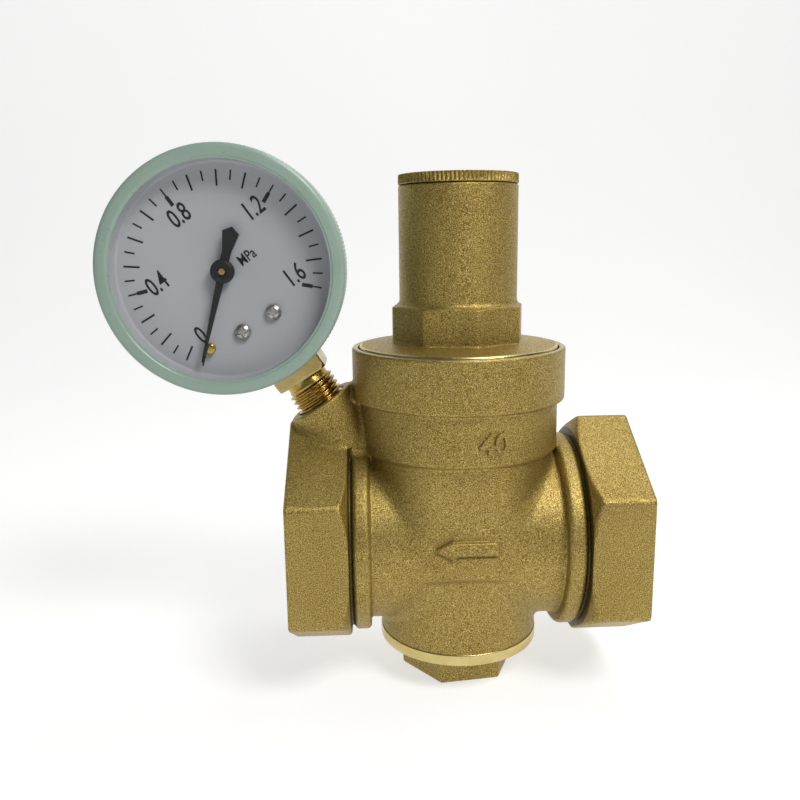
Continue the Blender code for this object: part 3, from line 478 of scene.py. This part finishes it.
# ---------------------------------------------------------------- cast shapes as distance fields
def unite(a, b, fillet=0.0):
    """Union of two distance fields, with a fillet of this radius in the corner between them."""
    if not fillet:
        return np.minimum(a, b)
    corner = np.hypot(np.maximum(fillet - a, 0), np.maximum(fillet - b, 0))
    return np.maximum(np.minimum(a, b), fillet) - corner


def both(a, b, edge=0.0):
    """Intersection, with its edge rounded."""
    return -unite(-a, -b, edge)


def less(a, b, edge=0.0):
    """a with b taken away."""
    return -unite(-a, b, edge)


def slab(value, low, high):
    return np.maximum(low - value, value - high)


class Block:
    """Coordinates of a box-shaped grid, and the mesh of a field on it."""

    def __init__(self, low, high, step):
        self.low, self.step = np.array(low, float), step
        axes = [np.arange(a, b + step, step, dtype=np.float32) for a, b in zip(low, high)]
        self.x, self.y, self.z = np.meshgrid(*axes, indexing="ij", sparse=True)
        self.round = np.hypot(self.x, self.y)

    def mesh(self, name, field):
        reach = 3 * self.step
        grid = openvdb.FloatGrid(reach)
        grid.copyFromArray(np.ascontiguousarray(np.clip(field, -reach, reach), np.float32))
        grid.transform = openvdb.createLinearTransform(voxelSize=self.step)
        points, quads = grid.convertToQuads(0.0)
        return mesh_of(name, points + self.low, quads[:, ::-1])


def arrow_outline(along, height):
    """Distance to the outline of the flow arrow; it points to -X."""
    shaft = both(np.abs(height) - ARROW_SHAFT, slab(along, ARROW_NECK - 1.0, ARROW_TAIL))
    slope = ARROW_HEAD / (ARROW_NECK - ARROW_TIP)
    edge = (np.abs(height) - (along - ARROW_TIP) * slope) / sqrt(1 + slope * slope)
    return unite(shaft, both(edge, along - ARROW_NECK))


def body_field(block):
    """The whole casting: outside first, then the bores and the passages round the seat web."""
    x, y, z, around = block.x, block.y, block.z, block.round
    port_z = z - PORT_Z
    pipe = np.hypot(y, port_z)
    along = np.abs(x)

    neck = both(around - NECK_R, slab(z, NECK_BOTTOM, 60.0), 0.4)
    waist = both(both(around - WAIST_R, np.abs(y) - PANEL_Y, 0.6), slab(z, WAIST_BOTTOM, 70.0), 0.7)
    shape = unite(neck, waist, 1.4)
    bell = both(around - BELL_R, slab(z, BELL_BOTTOM, 84.0), 1.0)
    ring = both(around - RING_R, slab(z, RING_BOTTOM, BODY_TOP), 0.6)
    shape = unite(shape, bell, 1.2)
    shape = unite(shape, ring, 0.9)

    end = np.where(x > 0, INLET_END, OUTLET_END)
    hex_start = end - HEX_LENGTH
    bead_out = hex_start - BEAD_TO_HEX
    run = both(pipe - RUN_R, along - hex_start - 2, 0.0)
    shape = unite(shape, run, 2.2)
    shape = unite(shape, both(pipe - GROOVE_R, slab(along, bead_out - 1, hex_start + 1)))
    bead = both(pipe - BEAD_R, slab(along, bead_out - BEAD_WIDTH, bead_out), 1.3)
    shape = unite(shape, bead, 0.4)

    hexagon = np.abs(y) - PORT_FLAT
    for turn in (60, -60):
        flat = np.abs(y * cos(radians(turn)) + port_z * sin(radians(turn))) - PORT_FLAT
        hexagon = both(hexagon, flat, 1.1)
    hexagon = both(hexagon, slab(along, hex_start, end), 0.6)
    cone = (pipe - PORT_FLAT - 0.2 - (along - hex_start) * 1.85) * 0.475
    hexagon = both(hexagon, cone, 0.6)
    shape = unite(shape, hexagon, 0.2)

    lean_x, lean_z = -sin(GAUGE_LEAN), cos(GAUGE_LEAN)
    up_boss = (x - BOSS_X) * lean_x + (z - BOSS_Z) * lean_z
    across = (x - BOSS_X) * lean_z - (z - BOSS_Z) * lean_x
    from_boss = np.hypot(across, y)
    boss = both(from_boss - BOSS_R, slab(up_boss, -25.0, 0.0), 0.5)
    web = both(np.abs(y) - 3.6, both(slab(x, -37.5, -20.0), slab(z, 56.0, 200.0), 0.5), 1.2)
    web = both(web, (z - 80.5) * 0.8 + (-x - 28.5) * 0.6, 1.5)
    boss = unite(boss, web, 2.5)
    shape = unite(shape, boss, 1.6)

    proud = -y - PANEL_Y - 0.6  # height above the cast panel
    arrow = arrow_outline(x, z - ARROW_Z)
    shape = less(shape, both(np.abs(arrow - 0.3) - 0.45, -0.5 - proud, 0.2), 0.2)
    raised = both(both(arrow, proud - 0.75, 0.4), -3.0 - proud)
    shape = unite(shape, raised)

    upper = both(around - CHAMBER_R, slab(z, WEB_TOP, PISTON_BORE_Z + 2), 2.0)
    shape = less(shape, upper)
    shape = less(shape, both(around - PISTON_BORE_R, z * -1 + PISTON_BORE_Z))
    shape = less(shape, both(around - 25.0, 80.0 - z))
    shape = less(shape, both(around - COUNTERBORE_R, COUNTERBORE_Z - z))
    shape = less(shape, both(around - PLUG_BORE_R, slab(z, 0.0, WEB_BOTTOM), 1.0))
    shape = less(shape, both(around - SEAT_HOLE_R, slab(z, WEB_BOTTOM - 2, WEB_TOP + 2)))
    full = both(pipe - RUN_BORE, PASSAGE_X - along, 1.5)
    inlet = both(both(pipe - RUN_BORE, slab(x, 0, PASSAGE_X + 3)), z - WEB_BOTTOM, 1.5)
    outlet = both(both(pipe - RUN_BORE, slab(x, -PASSAGE_X - 3, 0)), WEB_TOP - z, 1.5)
    passages = unite(unite(full, inlet, 1.0), outlet, 1.0)
    shape = less(shape, passages, 0.8)
    socket = both(pipe - THREAD_MAJOR - 0.15, end - THREAD_DEPTH - along)
    shape = less(shape, socket)
    shape = less(shape, both(from_boss - BOSS_BORE_R, slab(up_boss, -BOSS_BORE_DEPTH, 3.0)), 0.4)
    shape = less(shape, both(from_boss - 2.5, slab(up_boss, -BOSS_BORE_DEPTH - 18, 0)))
    return shape


def paint_by_place(mesh, rule, index):
    """Gives faces whose centres pass the rule another material of the mesh."""
    count = len(mesh.polygons)
    centres = np.empty(count * 3, np.float32)
    mesh.polygons.foreach_get("center", centres)
    chosen = rule(centres.reshape(-1, 3) / MM)
    current = np.zeros(count, np.int32)
    mesh.polygons.foreach_get("material_index", current)
    mesh.polygons.foreach_set("material_index", np.where(chosen, index, current).astype(np.int32))


def valve_body():
    block = Block((-48.5, -34.5, 11.5), (48.5, 34.5, 95.0), STEP)
    mesh = block.mesh("cast_body", body_field(block))
    piece("cast_body", mesh, "valve", (CAST, FACED, GROOVE_PAINTED_SHADE), 60.0, ["valve_body"])

    def machined(p):
        around = np.hypot(p[:, 0], p[:, 1])
        return (
            (p[:, 0] > INLET_END - 0.12)
            | (p[:, 0] < 0.12 - OUTLET_END)
            | (p[:, 2] > BODY_TOP - 0.12)
            | ((p[:, 2] > PISTON_BORE_Z) & (around < PISTON_BORE_R + 0.2))
            | ((p[:, 2] > COUNTERBORE_Z - 0.1) & (around < COUNTERBORE_R + 0.2))
            | (p[:, 2] < NECK_BOTTOM + 0.12)
            | ((p[:, 2] < 30) & (around < PLUG_BORE_R + 0.1))
        )

    # Faces in the crease between each collar bead and its hexagon; they get the darkened brass as painted shade.
    def painted_groove_shade(p):
        start = np.where(p[:, 0] > 0, INLET_END, OUTLET_END) - HEX_LENGTH
        inside = (np.abs(p[:, 0]) > start - BEAD_TO_HEX - 0.2) & (np.abs(p[:, 0]) < start + 0.2)
        pipe = np.hypot(p[:, 1], p[:, 2] - PORT_Z)
        return inside & (pipe < PORT_FLAT + 0.4) & (pipe > RUN_BORE + 1)

    paint_by_place(mesh, machined, 1)
    paint_by_place(mesh, painted_groove_shade, 2)
    for name, side, end in (("inlet", 1, INLET_END), ("outlet", -1, OUTLET_END)):
        low, high = end - THREAD_DEPTH + 0.2, end - 0.3
        inner = threaded_wall(THREAD_MINOR, THREAD_MAJOR, THREAD_PITCH, low, high, 128, 10, outward=False)
        outer = inner[:, :, :2] / np.hypot(inner[:, :, 0], inner[:, :, 1])[:, :, None] * (THREAD_MAJOR + 0.6)
        wall = np.concatenate([inner[::-1], np.concatenate([outer, inner[:, :, 2:]], -1)])
        laid = Matrix.Translation((0, 0, PORT_Z * MM)) @ Matrix.Rotation(side * pi / 2, 4, "Y")
        liner = rings_mesh(name + "_port_thread", wall, laid, closed=True)
        piece(name + "_port_thread", liner, "valve", TURNED)


def lettering(name, text, height, squeeze=0.8, depth=0.0, bevel=0.0, weight=0.0):
    """Flat or raised numerals, centred on the origin in the XZ plane and facing -Y, in metres."""
    curve = bpy.data.curves.new(name, "FONT")
    curve.body = text
    curve.align_x = "CENTER"
    curve.align_y = "CENTER"
    curve.size = 1.0
    curve.resolution_u = 6
    holder = bpy.data.objects.new(name, curve)
    bpy.context.scene.collection.objects.link(holder)
    bpy.context.view_layer.update()
    size = height * MM / 0.70
    curve.size = size
    curve.extrude = depth * MM
    curve.bevel_depth = bevel * MM
    curve.bevel_resolution = 2
    curve.offset = weight * MM
    bpy.context.view_layer.update()
    mesh = bpy.data.meshes.new_from_object(holder.evaluated_get(bpy.context.evaluated_depsgraph_get()))
    bpy.data.objects.remove(holder)
    mesh.name = name
    mesh.materials.clear()
    mesh.transform(Matrix.Rotation(pi / 2, 4, "X") @ Matrix.Scale(squeeze, 4, (1, 0, 0)))
    return mesh


def size_numerals():
    """The nominal bore in raised numerals, bent round the lower band of the bell."""
    mesh = lettering("size_numerals", "40", 5.3, 1.05, 0.75, 0.12, weight=0.10)
    work = bmesh.new()
    work.from_mesh(mesh)
    bmesh.ops.subdivide_edges(
        work, edges=[e for e in work.edges if e.calc_length() > 1.0 * MM], cuts=3, use_grid_fill=True
    )
    for vert in work.verts:
        angle = vert.co.x / (BELL_R * MM) + NUMERALS_TURN
        reach = BELL_R * MM - 0.25 * MM - vert.co.y
        vert.co = Vector((reach * sin(angle), -reach * cos(angle), vert.co.z + 71.6 * MM))
    work.to_mesh(mesh)
    work.free()
    piece("size_numerals", mesh, "valve", CAST, 50.0)


def bonnet():
    """Flange disc, eight-sided wrench part and spring tower, with a bright turned rim round the disc."""
    block = Block((-28.0, -28.0, 81.0), (28.0, 28.0, 137.2), 0.33)
    x, y, z, around = block.x, block.y, block.z, block.round
    fall = (DISC_TOP - DISC_RIM_TOP) / (DISC_R - OCTAGON_R + 1.5)
    disc = both(around - DISC_R, slab(z, 91.4, DISC_TOP))
    disc = both(disc, (z - DISC_RIM_TOP) + (around - DISC_R) * fall, 0.35)
    skirt = both(around - 24.7, slab(z, 82.2, 93.0), 0.5)
    shape = np.minimum(disc, skirt)
    octagon = slab(z, 90.0, OCTAGON_TOP + 3.0)
    half_flat = OCTAGON_R * cos(pi / 8)
    for side in range(8):
        angle = OCTAGON_TURN - pi / 2 + side * pi / 4
        octagon = both(octagon, x * cos(angle) + y * sin(angle) - half_flat, 0.35)
    slope = (around - TOWER_R - 1.0) * 0.18 + (z - OCTAGON_TOP) * 0.98
    octagon = both(octagon, slope, 0.3)
    tower = both(around - TOWER_R, slab(z, 90.0, TOWER_TOP), 0.3)
    shape = unite(shape, unite(octagon, tower, 1.3), 0.5)
    shape = less(shape, both(around - TOWER_BORE, slab(z, 0, 200)))
    shape = less(shape, both(around - SEAL_GROOVE_R, SEAL_GROOVE_Z - z))
    mesh = block.mesh("cast_bonnet", shape)
    piece("cast_bonnet", mesh, "valve", (CAST, BRIGHT), 60.0, ["bonnet"])

    def rim(p):
        reach = np.hypot(p[:, 0], p[:, 1])
        edge = (reach > DISC_R - 0.55) & (p[:, 2] > 91.0)
        return edge | (reach < TOWER_BORE + 0.2) | (p[:, 2] < 91.0)

    paint_by_place(mesh, rim, 1)


def cap():
    """Thin plate with a fine straight knurl, and its hollow skirt."""
    profile = [
        (10.7, 131.0),
        (12.8, 131.0, 0.4),
        (12.8, CAP_BOTTOM, 0.05),
        (CAP_R, CAP_BOTTOM, 0.25),
        (CAP_R, CAP_BOTTOM + 0.5, 0.02),
        (CAP_R, CAP_TOP - 0.5, 0.02),
        (CAP_R, CAP_TOP, 0.4),
        (0.02, CAP_TOP, 0.0),
        (0.02, CAP_BOTTOM - 0.3, 0.0),
        (10.7, CAP_BOTTOM - 0.3, 0.3),
    ]
    teeth = 90
    ripple = knurl(teeth, 0.35, CAP_BOTTOM + 0.3, CAP_TOP - 0.15, CAP_R - 0.3)
    mesh = turned("knurled_cap", profile, segments=teeth * 6, ripple=ripple)
    piece("knurled_cap", mesh, "screw_cap", CAST, 40.0, ["cap"])


def bottom_plug():
    flange = [
        (6.8, FLANGE_BOTTOM + 0.4),
        (FLANGE_R, FLANGE_BOTTOM + 0.4, 0.5),
        (FLANGE_R, FLANGE_TOP, 0.35),
        (18.0, FLANGE_TOP, 0.2),
        (18.0, 20.0, 0.7),
        (6.8, 20.0, 0.4),
    ]
    piece(
        "plug_flange",
        turned("plug_flange", flange),
        "valve",
        BRIGHT,
        35.0,
        ["bottom_plug"],
    )
    block = Block((-18, -18, -1), (18, 18, 11), 0.25)
    shape = slab(block.z, 0.0, FLANGE_BOTTOM + 0.8)
    flat = PLUG_HEX_R * cos(pi / 6)
    for side in range(6):
        angle = PLUG_HEX_TURN - pi / 2 + side * pi / 3
        shape = both(shape, block.x * cos(angle) + block.y * sin(angle) - flat, 0.5)
    piece("plug_hexagon", block.mesh("plug_hexagon", shape), "valve", CAST, 60.0)


# ---------------------------------------------------------------- gauge
def in_gauge(x, y, z):
    return GAUGE @ Matrix.Translation(Vector((x, y, z)) * MM)


def clock_point(angle, radius):
    """A point on the dial plane at a clock angle seen from the front.

    It is in the upright frame, as (x, z) in mm.
    """
    return radius * sin(angle), radius * cos(angle)


UPRIGHT = Matrix.Translation(GAUGE_AT)  # the gauge's place without its lean


def gauge_socket():
    """Square with turned-down corners, undercut and M14 thread, all turned brass."""
    block = Block((-9, -9, SOCKET_BOTTOM - 1), (9, 9, -24), 0.22)
    square = both(np.abs(block.x) - SOCKET_HALF, np.abs(block.y) - SOCKET_HALF, 0.25)
    square = both(square, slab(block.z, SOCKET_BOTTOM, -25.5), 0.15)
    corner = (block.round - 9.3) * 0.9 - (block.z - SOCKET_BOTTOM) * 0.45
    square = both(square, corner, 0.2)
    mesh = block.mesh("socket_square", square)
    mesh.transform(GAUGE)
    # The socket square gets the darker brass, painted shade for its place under the gauge.
    piece("socket_square", mesh, "valve", SOCKET_PAINTED_SHADE, 40.0, ["gauge_socket"])
    low, high = -GAUGE_REACH - 11.0, SOCKET_BOTTOM - 1.9
    wall = threaded_wall(5.95, 6.88, 1.5, low, high, 72, 12)
    neck = []
    for radius, height in (
        (5.9, high + 0.05), (5.9, SOCKET_BOTTOM + 0.5), (2.2, SOCKET_BOTTOM + 0.5), (2.2, low), (5.6, low)
    ):
        ring = wall[0].copy()
        ring[:, :2] *= radius / np.hypot(ring[:, 0], ring[:, 1])[:, None]
        ring[:, 2] = height
        neck.append(ring)
    mesh = rings_mesh("stem_thread", np.concatenate([wall, np.array(neck)]), GAUGE, closed=True)
    piece("stem_thread", mesh, "valve", THREADED, 50.0)
    inner = bmesh.new()
    for low_corner, high_corner in (
        ((-6.6, -12.9, -26.5), (6.6, 4.5, -13.2)), ((-6.6, -2.3, -13.4), (6.6, 4.5, -4.2))
    ):
        size = [b - a for a, b in zip(low_corner, high_corner)]
        middle = [(a + b) / 2 for a, b in zip(low_corner, high_corner)]
        grown = Matrix.Translation(Vector(middle) * MM) @ Matrix.Diagonal((*[s * MM for s in size], 1))
        bmesh.ops.create_cube(inner, size=1.0, matrix=grown)
    bmesh.ops.bevel(inner, geom=list(inner.edges), offset=0.5 * MM, segments=2, affect="EDGES")
    mesh = bpy.data.meshes.new("socket_block")
    inner.to_mesh(mesh)
    inner.free()
    mesh.transform(GAUGE)
    piece("socket_block", mesh, "valve", TURNED)


def gauge_case():
    """Stamped case, with the knurled skirt of the bezel over its front."""
    profile = [
        (0.02, CASE_BACK - 1.2, 0.0),
        (CASE_R - 1.2, CASE_BACK - 1.2, 1.2),
        (CASE_R - 1.2, -16.4, 0.3),
        (CASE_R, -16.4, 0.3),
        (CASE_R, CASE_BACK, 2.2),
        (0.02, CASE_BACK, 0.0),
    ]
    case = turned("case_shell", profile, GAUGE @ TO_Y, 192)
    opened = piece("case_shell", case, "valve", GREEN, 35.0, ["gauge_case"])
    profile = [
        (BEZEL_WINDOW_R, BEZEL_FRONT + 0.9, 0.2),
        (BEZEL_WINDOW_R, BEZEL_FRONT + 0.25, 0.15),
        (BEZEL_WINDOW_R + 0.45, BEZEL_FRONT + 0.25, 0.1),
        (BEZEL_WINDOW_R + 0.75, BEZEL_FRONT, 0.25),
        (BEZEL_R - 0.2, BEZEL_FRONT, 1.3),
        (BEZEL_R - 0.2, BEZEL_FRONT + 4.0, 0.05),
        (BEZEL_R, BEZEL_FRONT + 4.3, 0.05),
        (BEZEL_R, BEZEL_BACK - 0.5, 0.05),
        (BEZEL_R - 0.3, BEZEL_BACK, 0.2),
        (BEZEL_R - 1.0, BEZEL_BACK, 0.2),
        (BEZEL_R - 1.0, BEZEL_FRONT + 1.0, 0.2),
        (BEZEL_WINDOW_R, BEZEL_FRONT + 1.0, 0.2),
    ]
    ripple = knurl(180, 0.28, BEZEL_FRONT + 4.2, BEZEL_BACK - 0.4, BEZEL_R - 0.1)
    mesh = turned("bezel_ring", profile, GAUGE @ TO_Y, 180 * 4, 0.3, ripple)
    ring = piece("bezel_ring", mesh, "valve", GREEN, 40.0, ["bezel"])
    return opened, ring


def cut_socket_opening(*pieces):
    """The socket passes out through the case and under the bezel's skirt."""
    work = bmesh.new()
    half = SOCKET_HALF + 0.3
    size = Matrix.Diagonal((2 * half * MM, 2 * half * MM, 20 * MM, 1))
    bmesh.ops.create_cube(work, size=1.0, matrix=GAUGE @ Matrix.Translation((0, 0, -30 * MM)) @ size)
    mesh = bpy.data.meshes.new("opening")
    work.to_mesh(mesh)
    work.free()
    cutter = bpy.data.objects.new("opening", mesh)
    bpy.context.scene.collection.objects.link(cutter)
    for item in pieces:
        step = item.modifiers.new("opening", "BOOLEAN")
        step.operation = "DIFFERENCE"
        step.solver = "EXACT"
        step.object = cutter
        bpy.context.view_layer.update()
        shown = bpy.data.meshes.new_from_object(item.evaluated_get(bpy.context.evaluated_depsgraph_get()))
        item.modifiers.clear()
        item.data = shown
    bpy.data.objects.remove(cutter)


def dial():
    """Dial plate with printed scale, numerals and unit."""
    profile = [
        (1.3, DIAL_FRONT),
        (27.1, DIAL_FRONT, 0.8),
        (27.3, BEZEL_FRONT + 1.2, 0.1),
        (28.0, BEZEL_FRONT + 1.2, 0.1),
        (28.2, DIAL_FRONT + 0.6, 0.8),
        (1.3, DIAL_FRONT + 0.6),
    ]
    mesh = turned("dial_plate", profile, GAUGE @ TO_Y, 128, 0.05)
    piece("dial_plate", mesh, "valve", FACE, 35.0, ["dial"])
    points, faces = [], []

    def bar(angle, inner, outer, width):
        """A printed tick as a thin flat bar lying on the dial."""
        out_x, out_z = sin(angle), cos(angle)
        first = len(points)
        for depth in (DIAL_FRONT - 0.05, DIAL_FRONT + 0.02):
            for radius, side in ((inner, -1), (inner, 1), (outer, 1), (outer, -1)):
                points.append(
                    (
                        radius * out_x + side * width / 2 * out_z,
                        depth,
                        radius * out_z - side * width / 2 * out_x,
                    )
                )
        quads = ((0, 1, 2, 3), (7, 6, 5, 4), (0, 4, 5, 1), (1, 5, 6, 2), (2, 6, 7, 3), (3, 7, 4, 0))
        faces.extend([[first + corner for corner in quad] for quad in quads])

    bar(POINTER_REST, 20.5, 24.9, 0.4)
    divisions = 32
    for mark in range(2, divisions + 1):
        angle = SCALE_START + SCALE_SWEEP * mark / divisions
        if mark % 8 == 0:
            bar(angle, 22.6, 24.9, 0.40)
            bar(angle, 19.9, 22.6, 0.95)
        elif mark % 2 == 0:
            bar(angle, 20.9, 24.9, 0.48)
        else:
            bar(angle, 22.4, 24.9, 0.40)
    ticks = mesh_of("scale_ticks", points, faces, UPRIGHT)
    piece("scale_ticks", ticks, "valve", INK)

    for mark, (text, angle, reach) in enumerate(NUMERALS):
        x, z = clock_point(radians(angle), reach)
        numeral = lettering("numeral_" + str(mark), text, 4.7, 0.66, 0.03, weight=0.07)
        tilt = Matrix.Rotation(DIAL_TURN, 4, "Y")
        numeral.transform(UPRIGHT @ Matrix.Translation(Vector((x, DIAL_FRONT - 0.03, z)) * MM) @ tilt)
        piece("numeral_" + str(mark), numeral, "valve", INK)
    x, z = clock_point(radians(60), 6.9)
    unit = lettering("unit_mark", "MPa", 2.75, 0.72, 0.03, weight=0.045)
    place = UPRIGHT @ Matrix.Translation(Vector((x, DIAL_FRONT - 0.03, z)) * MM)
    unit.transform(place @ Matrix.Rotation(DIAL_TURN, 4, "Y"))
    piece("unit_mark", unit, "valve", INK)


def pan_screw(name, at, head_r, shank, body, node):
    """Pan-head screw with a domed head and a cross recess."""
    profile = [
        (0.02, -1.15, 0),
        (head_r * 0.62, -1.1, 0.3),
        (head_r, -0.45, 0.35),
        (head_r, 0, 0.1),
        (0.8, 0, 0.05),
        (0.8, shank, 0.2),
        (0.02, shank, 0),
    ]
    mesh = turned(name, profile, at @ TO_Y, 48, 0.2)
    made = piece(name, mesh, body, STEEL, 35.0, [node])
    work = bmesh.new()
    for turn in (0.35, 0.35 + pi / 2):
        place = at @ Matrix.Translation((0, -1.25 * MM, 0)) @ Matrix.Rotation(turn, 4, "Y")
        bmesh.ops.create_cube(
            work, size=1.0, matrix=place @ Matrix.Diagonal((2.7 * MM, 1.5 * MM, 0.62 * MM, 1))
        )
    cutter_mesh = bpy.data.meshes.new("recess")
    work.to_mesh(cutter_mesh)
    work.free()
    cutter = bpy.data.objects.new("recess", cutter_mesh)
    bpy.context.scene.collection.objects.link(cutter)
    step = made.modifiers.new("recess", "BOOLEAN")
    step.operation = "DIFFERENCE"
    step.solver = "EXACT"
    step.use_self = True
    step.object = cutter
    bpy.context.view_layer.update()
    made.data = bpy.data.meshes.new_from_object(made.evaluated_get(bpy.context.evaluated_depsgraph_get()))
    made.modifiers.clear()
    bpy.data.objects.remove(cutter)


def dial_furniture():
    for name, side in (("dial_screw_left", -1), ("dial_screw_right", 1)):
        x, z = side * 16 * sin(radians(17)), -16 * cos(radians(17))
        pan_screw(name + "_head", in_gauge(x, -14.1, z), 2.1, 5.0, "valve", name)
    x, z = clock_point(radians(-167.3), 20.0)
    pin = [(0.02, 0.0, 0), (1.45, 0.0, 0.1), (1.45, -1.3, 0.5), (0.02, -1.3, 0)]
    at = UPRIGHT @ Matrix.Translation(Vector((x, -14.0, z)) * MM)
    piece(
        "stop_pin",
        turned("stop_pin", pin[::-1], at @ TO_Y, 40, 0.2),
        "valve",
        THREADED,
        35.0,
        ["zero_stop_pin"],
    )
    glass = [(0.02, -18.7, 0), (27.1, -18.7, 0.2), (27.1, -17.5, 0.2), (0.02, -17.5, 0)]
    piece(
        "window_glass",
        turned("window_glass", glass, GAUGE @ TO_Y, 128),
        "valve",
        WINDOW,
        35.0,
        ["window"],
    )


def pointer():
    """Stamped blade with a cut-cornered tail and a pressed hub."""
    outline = [
        (-0.22, 23.7),
        (-0.95, 3.2),
        (-1.15, -5.2),
        (-2.15, -9.9),
        (0.0, -11.4),
        (2.15, -9.9),
        (1.15, -5.2),
        (0.95, 3.2),
        (0.22, 23.7),
    ]
    work = bmesh.new()
    base = work.faces.new([work.verts.new((x * MM, -15.75 * MM, z * MM)) for x, z in outline])
    raised = bmesh.ops.extrude_face_region(work, geom=[base])
    top = [item for item in raised["geom"] if isinstance(item, bmesh.types.BMVert)]
    bmesh.ops.translate(work, verts=top, vec=(0, -0.5 * MM, 0))
    bmesh.ops.recalc_face_normals(work, faces=work.faces)
    edges = [edge for edge in work.edges if all(v in top for v in edge.verts)]
    bmesh.ops.bevel(work, geom=edges, offset=0.1 * MM, segments=2, affect="EDGES")
    mesh = bpy.data.meshes.new("pointer_blade")
    work.to_mesh(mesh)
    work.free()
    mesh.transform(UPRIGHT @ Matrix.Rotation(POINTER_REST, 4, "Y"))
    piece("pointer_blade", mesh, "pointer_arbor", POINTER_BLACK, 35.0, ["pointer"])
    hub = [(1.1, -16.9, 0.05), (2.6, -16.9, 0.35), (3.0, -16.3, 0.3), (3.0, -15.1, 0.2), (1.1, -15.1, 0.1)]
    piece(
        "pointer_hub",
        turned("pointer_hub", hub, GAUGE @ TO_Y, 64),
        "pointer_arbor",
        POINTER_BLACK,
    )


# ---------------------------------------------------------------- pieces carried over from the CAD
CARRIED = {
    "machined_brass": TURNED,
    "stainless_steel": STEEL,
    "spring_steel": WIRE,
    "black_rubber": RUBBER,
    "white_seal": SEAL,
    "cast_brass": CAST,
    "green_paint": GREEN,
    "dial_white": FACE,
    "black_paint": INK,
    "clear_glass": WINDOW,
}


def finish_carried_nodes():
    slots = {item["node"]: item["material_slot"] for item in frame["record"]["subparts"]}
    for name, item in frame["nodes"].items():
        item.data.materials.clear()
        item.data.materials.append(CARRIED[slots[name]])


# ---------------------------------------------------------------- camera, light and floor
def camera():
    """The photograph's viewpoint: a little above the ports, nearly square to the front."""
    forward = Vector((0.0374, 0.9794, -0.1985)).normalized()
    right = Vector((0.99917, -0.0408, -0.0129)).normalized()
    up = right.cross(forward).normalized()
    right = forward.cross(up).normalized()
    data = bpy.data.cameras.new("camera")
    data.lens = 36.73
    data.sensor_width = 36.0
    data.clip_start = 0.01
    made = bpy.data.objects.new("camera", data)
    bpy.context.scene.collection.objects.link(made)
    turn = Matrix((right, up, -forward)).transposed().to_4x4()
    made.matrix_world = Matrix.Translation(Vector((-24.76, -223.60, 123.72)) * MM) @ turn
    bpy.context.scene.camera = made


def area_light(name, place, aim, size, power, colour=(1, 1, 1)):
    data = bpy.data.lights.new(name, "AREA")
    data.shape = "RECTANGLE"
    data.size, data.size_y = size
    data.energy = power
    data.color = colour
    made = bpy.data.objects.new(name, data)
    bpy.context.scene.collection.objects.link(made)
    made.location = place
    made.rotation_euler = (Vector(aim) - Vector(place)).to_track_quat("-Z", "Y").to_euler()
    return made


def studio():
    world = bpy.data.worlds.new("studio")
    bpy.context.scene.world = world
    world.use_nodes = True
    back = world.node_tree.nodes["Background"]
    back.inputs["Color"].default_value = (1.0, 1.0, 1.0, 1.0)
    back.inputs["Strength"].default_value = 0.13
    middle = (-0.01, 0.0, 0.08)
    area_light("overhead", (0.16, 0.12, 0.62), middle, (0.36, 0.30), 1.1, (1.0, 0.99, 0.97))
    area_light("key", (0.26, -0.36, 0.56), middle, (0.26, 0.22), 3.2, (1.0, 0.985, 0.96))
    work = bmesh.new()
    half, lift = 1.6, 1.2
    rows = [(-half, 0.0), (0.35, 0.0)]
    for step in range(1, 9):
        angle = pi / 2 * step / 8
        rows.append((0.35 + 0.4 * sin(angle), 0.4 * (1 - cos(angle))))
    rows.append((0.75, lift))
    edge = [[work.verts.new((x, y, z)) for x in (-half, half)] for y, z in rows]
    for near, far in zip(edge, edge[1:]):
        work.faces.new((near[0], near[1], far[1], far[0]))
    mesh = bpy.data.meshes.new("floor")
    work.to_mesh(mesh)
    work.free()
    floor = bpy.data.objects.new("floor", mesh)
    bpy.context.scene.collection.objects.link(floor)
    look = Shader("pale floor")
    tone = look.noise(0.004, 2.0, 0.5)
    look.set(Base_Color=look.ramp(tone, (0.3, 0.48), (0.7, 0.50)), Roughness=0.9)
    look.main.inputs["Emission Color"].default_value = (1, 1, 1, 1)
    look.main.inputs["Emission Strength"].default_value = 0.63
    mesh.materials.append(look.material)
    mesh.shade_smooth()


def main():
    finish_carried_nodes()
    valve_body()
    size_numerals()
    bonnet()
    cap()
    bottom_plug()
    gauge_socket()
    cut_socket_opening(*gauge_case())
    dial()
    dial_furniture()
    pointer()
    camera()
    studio()
    bpy.context.scene.view_settings.view_transform = "Standard"


main()
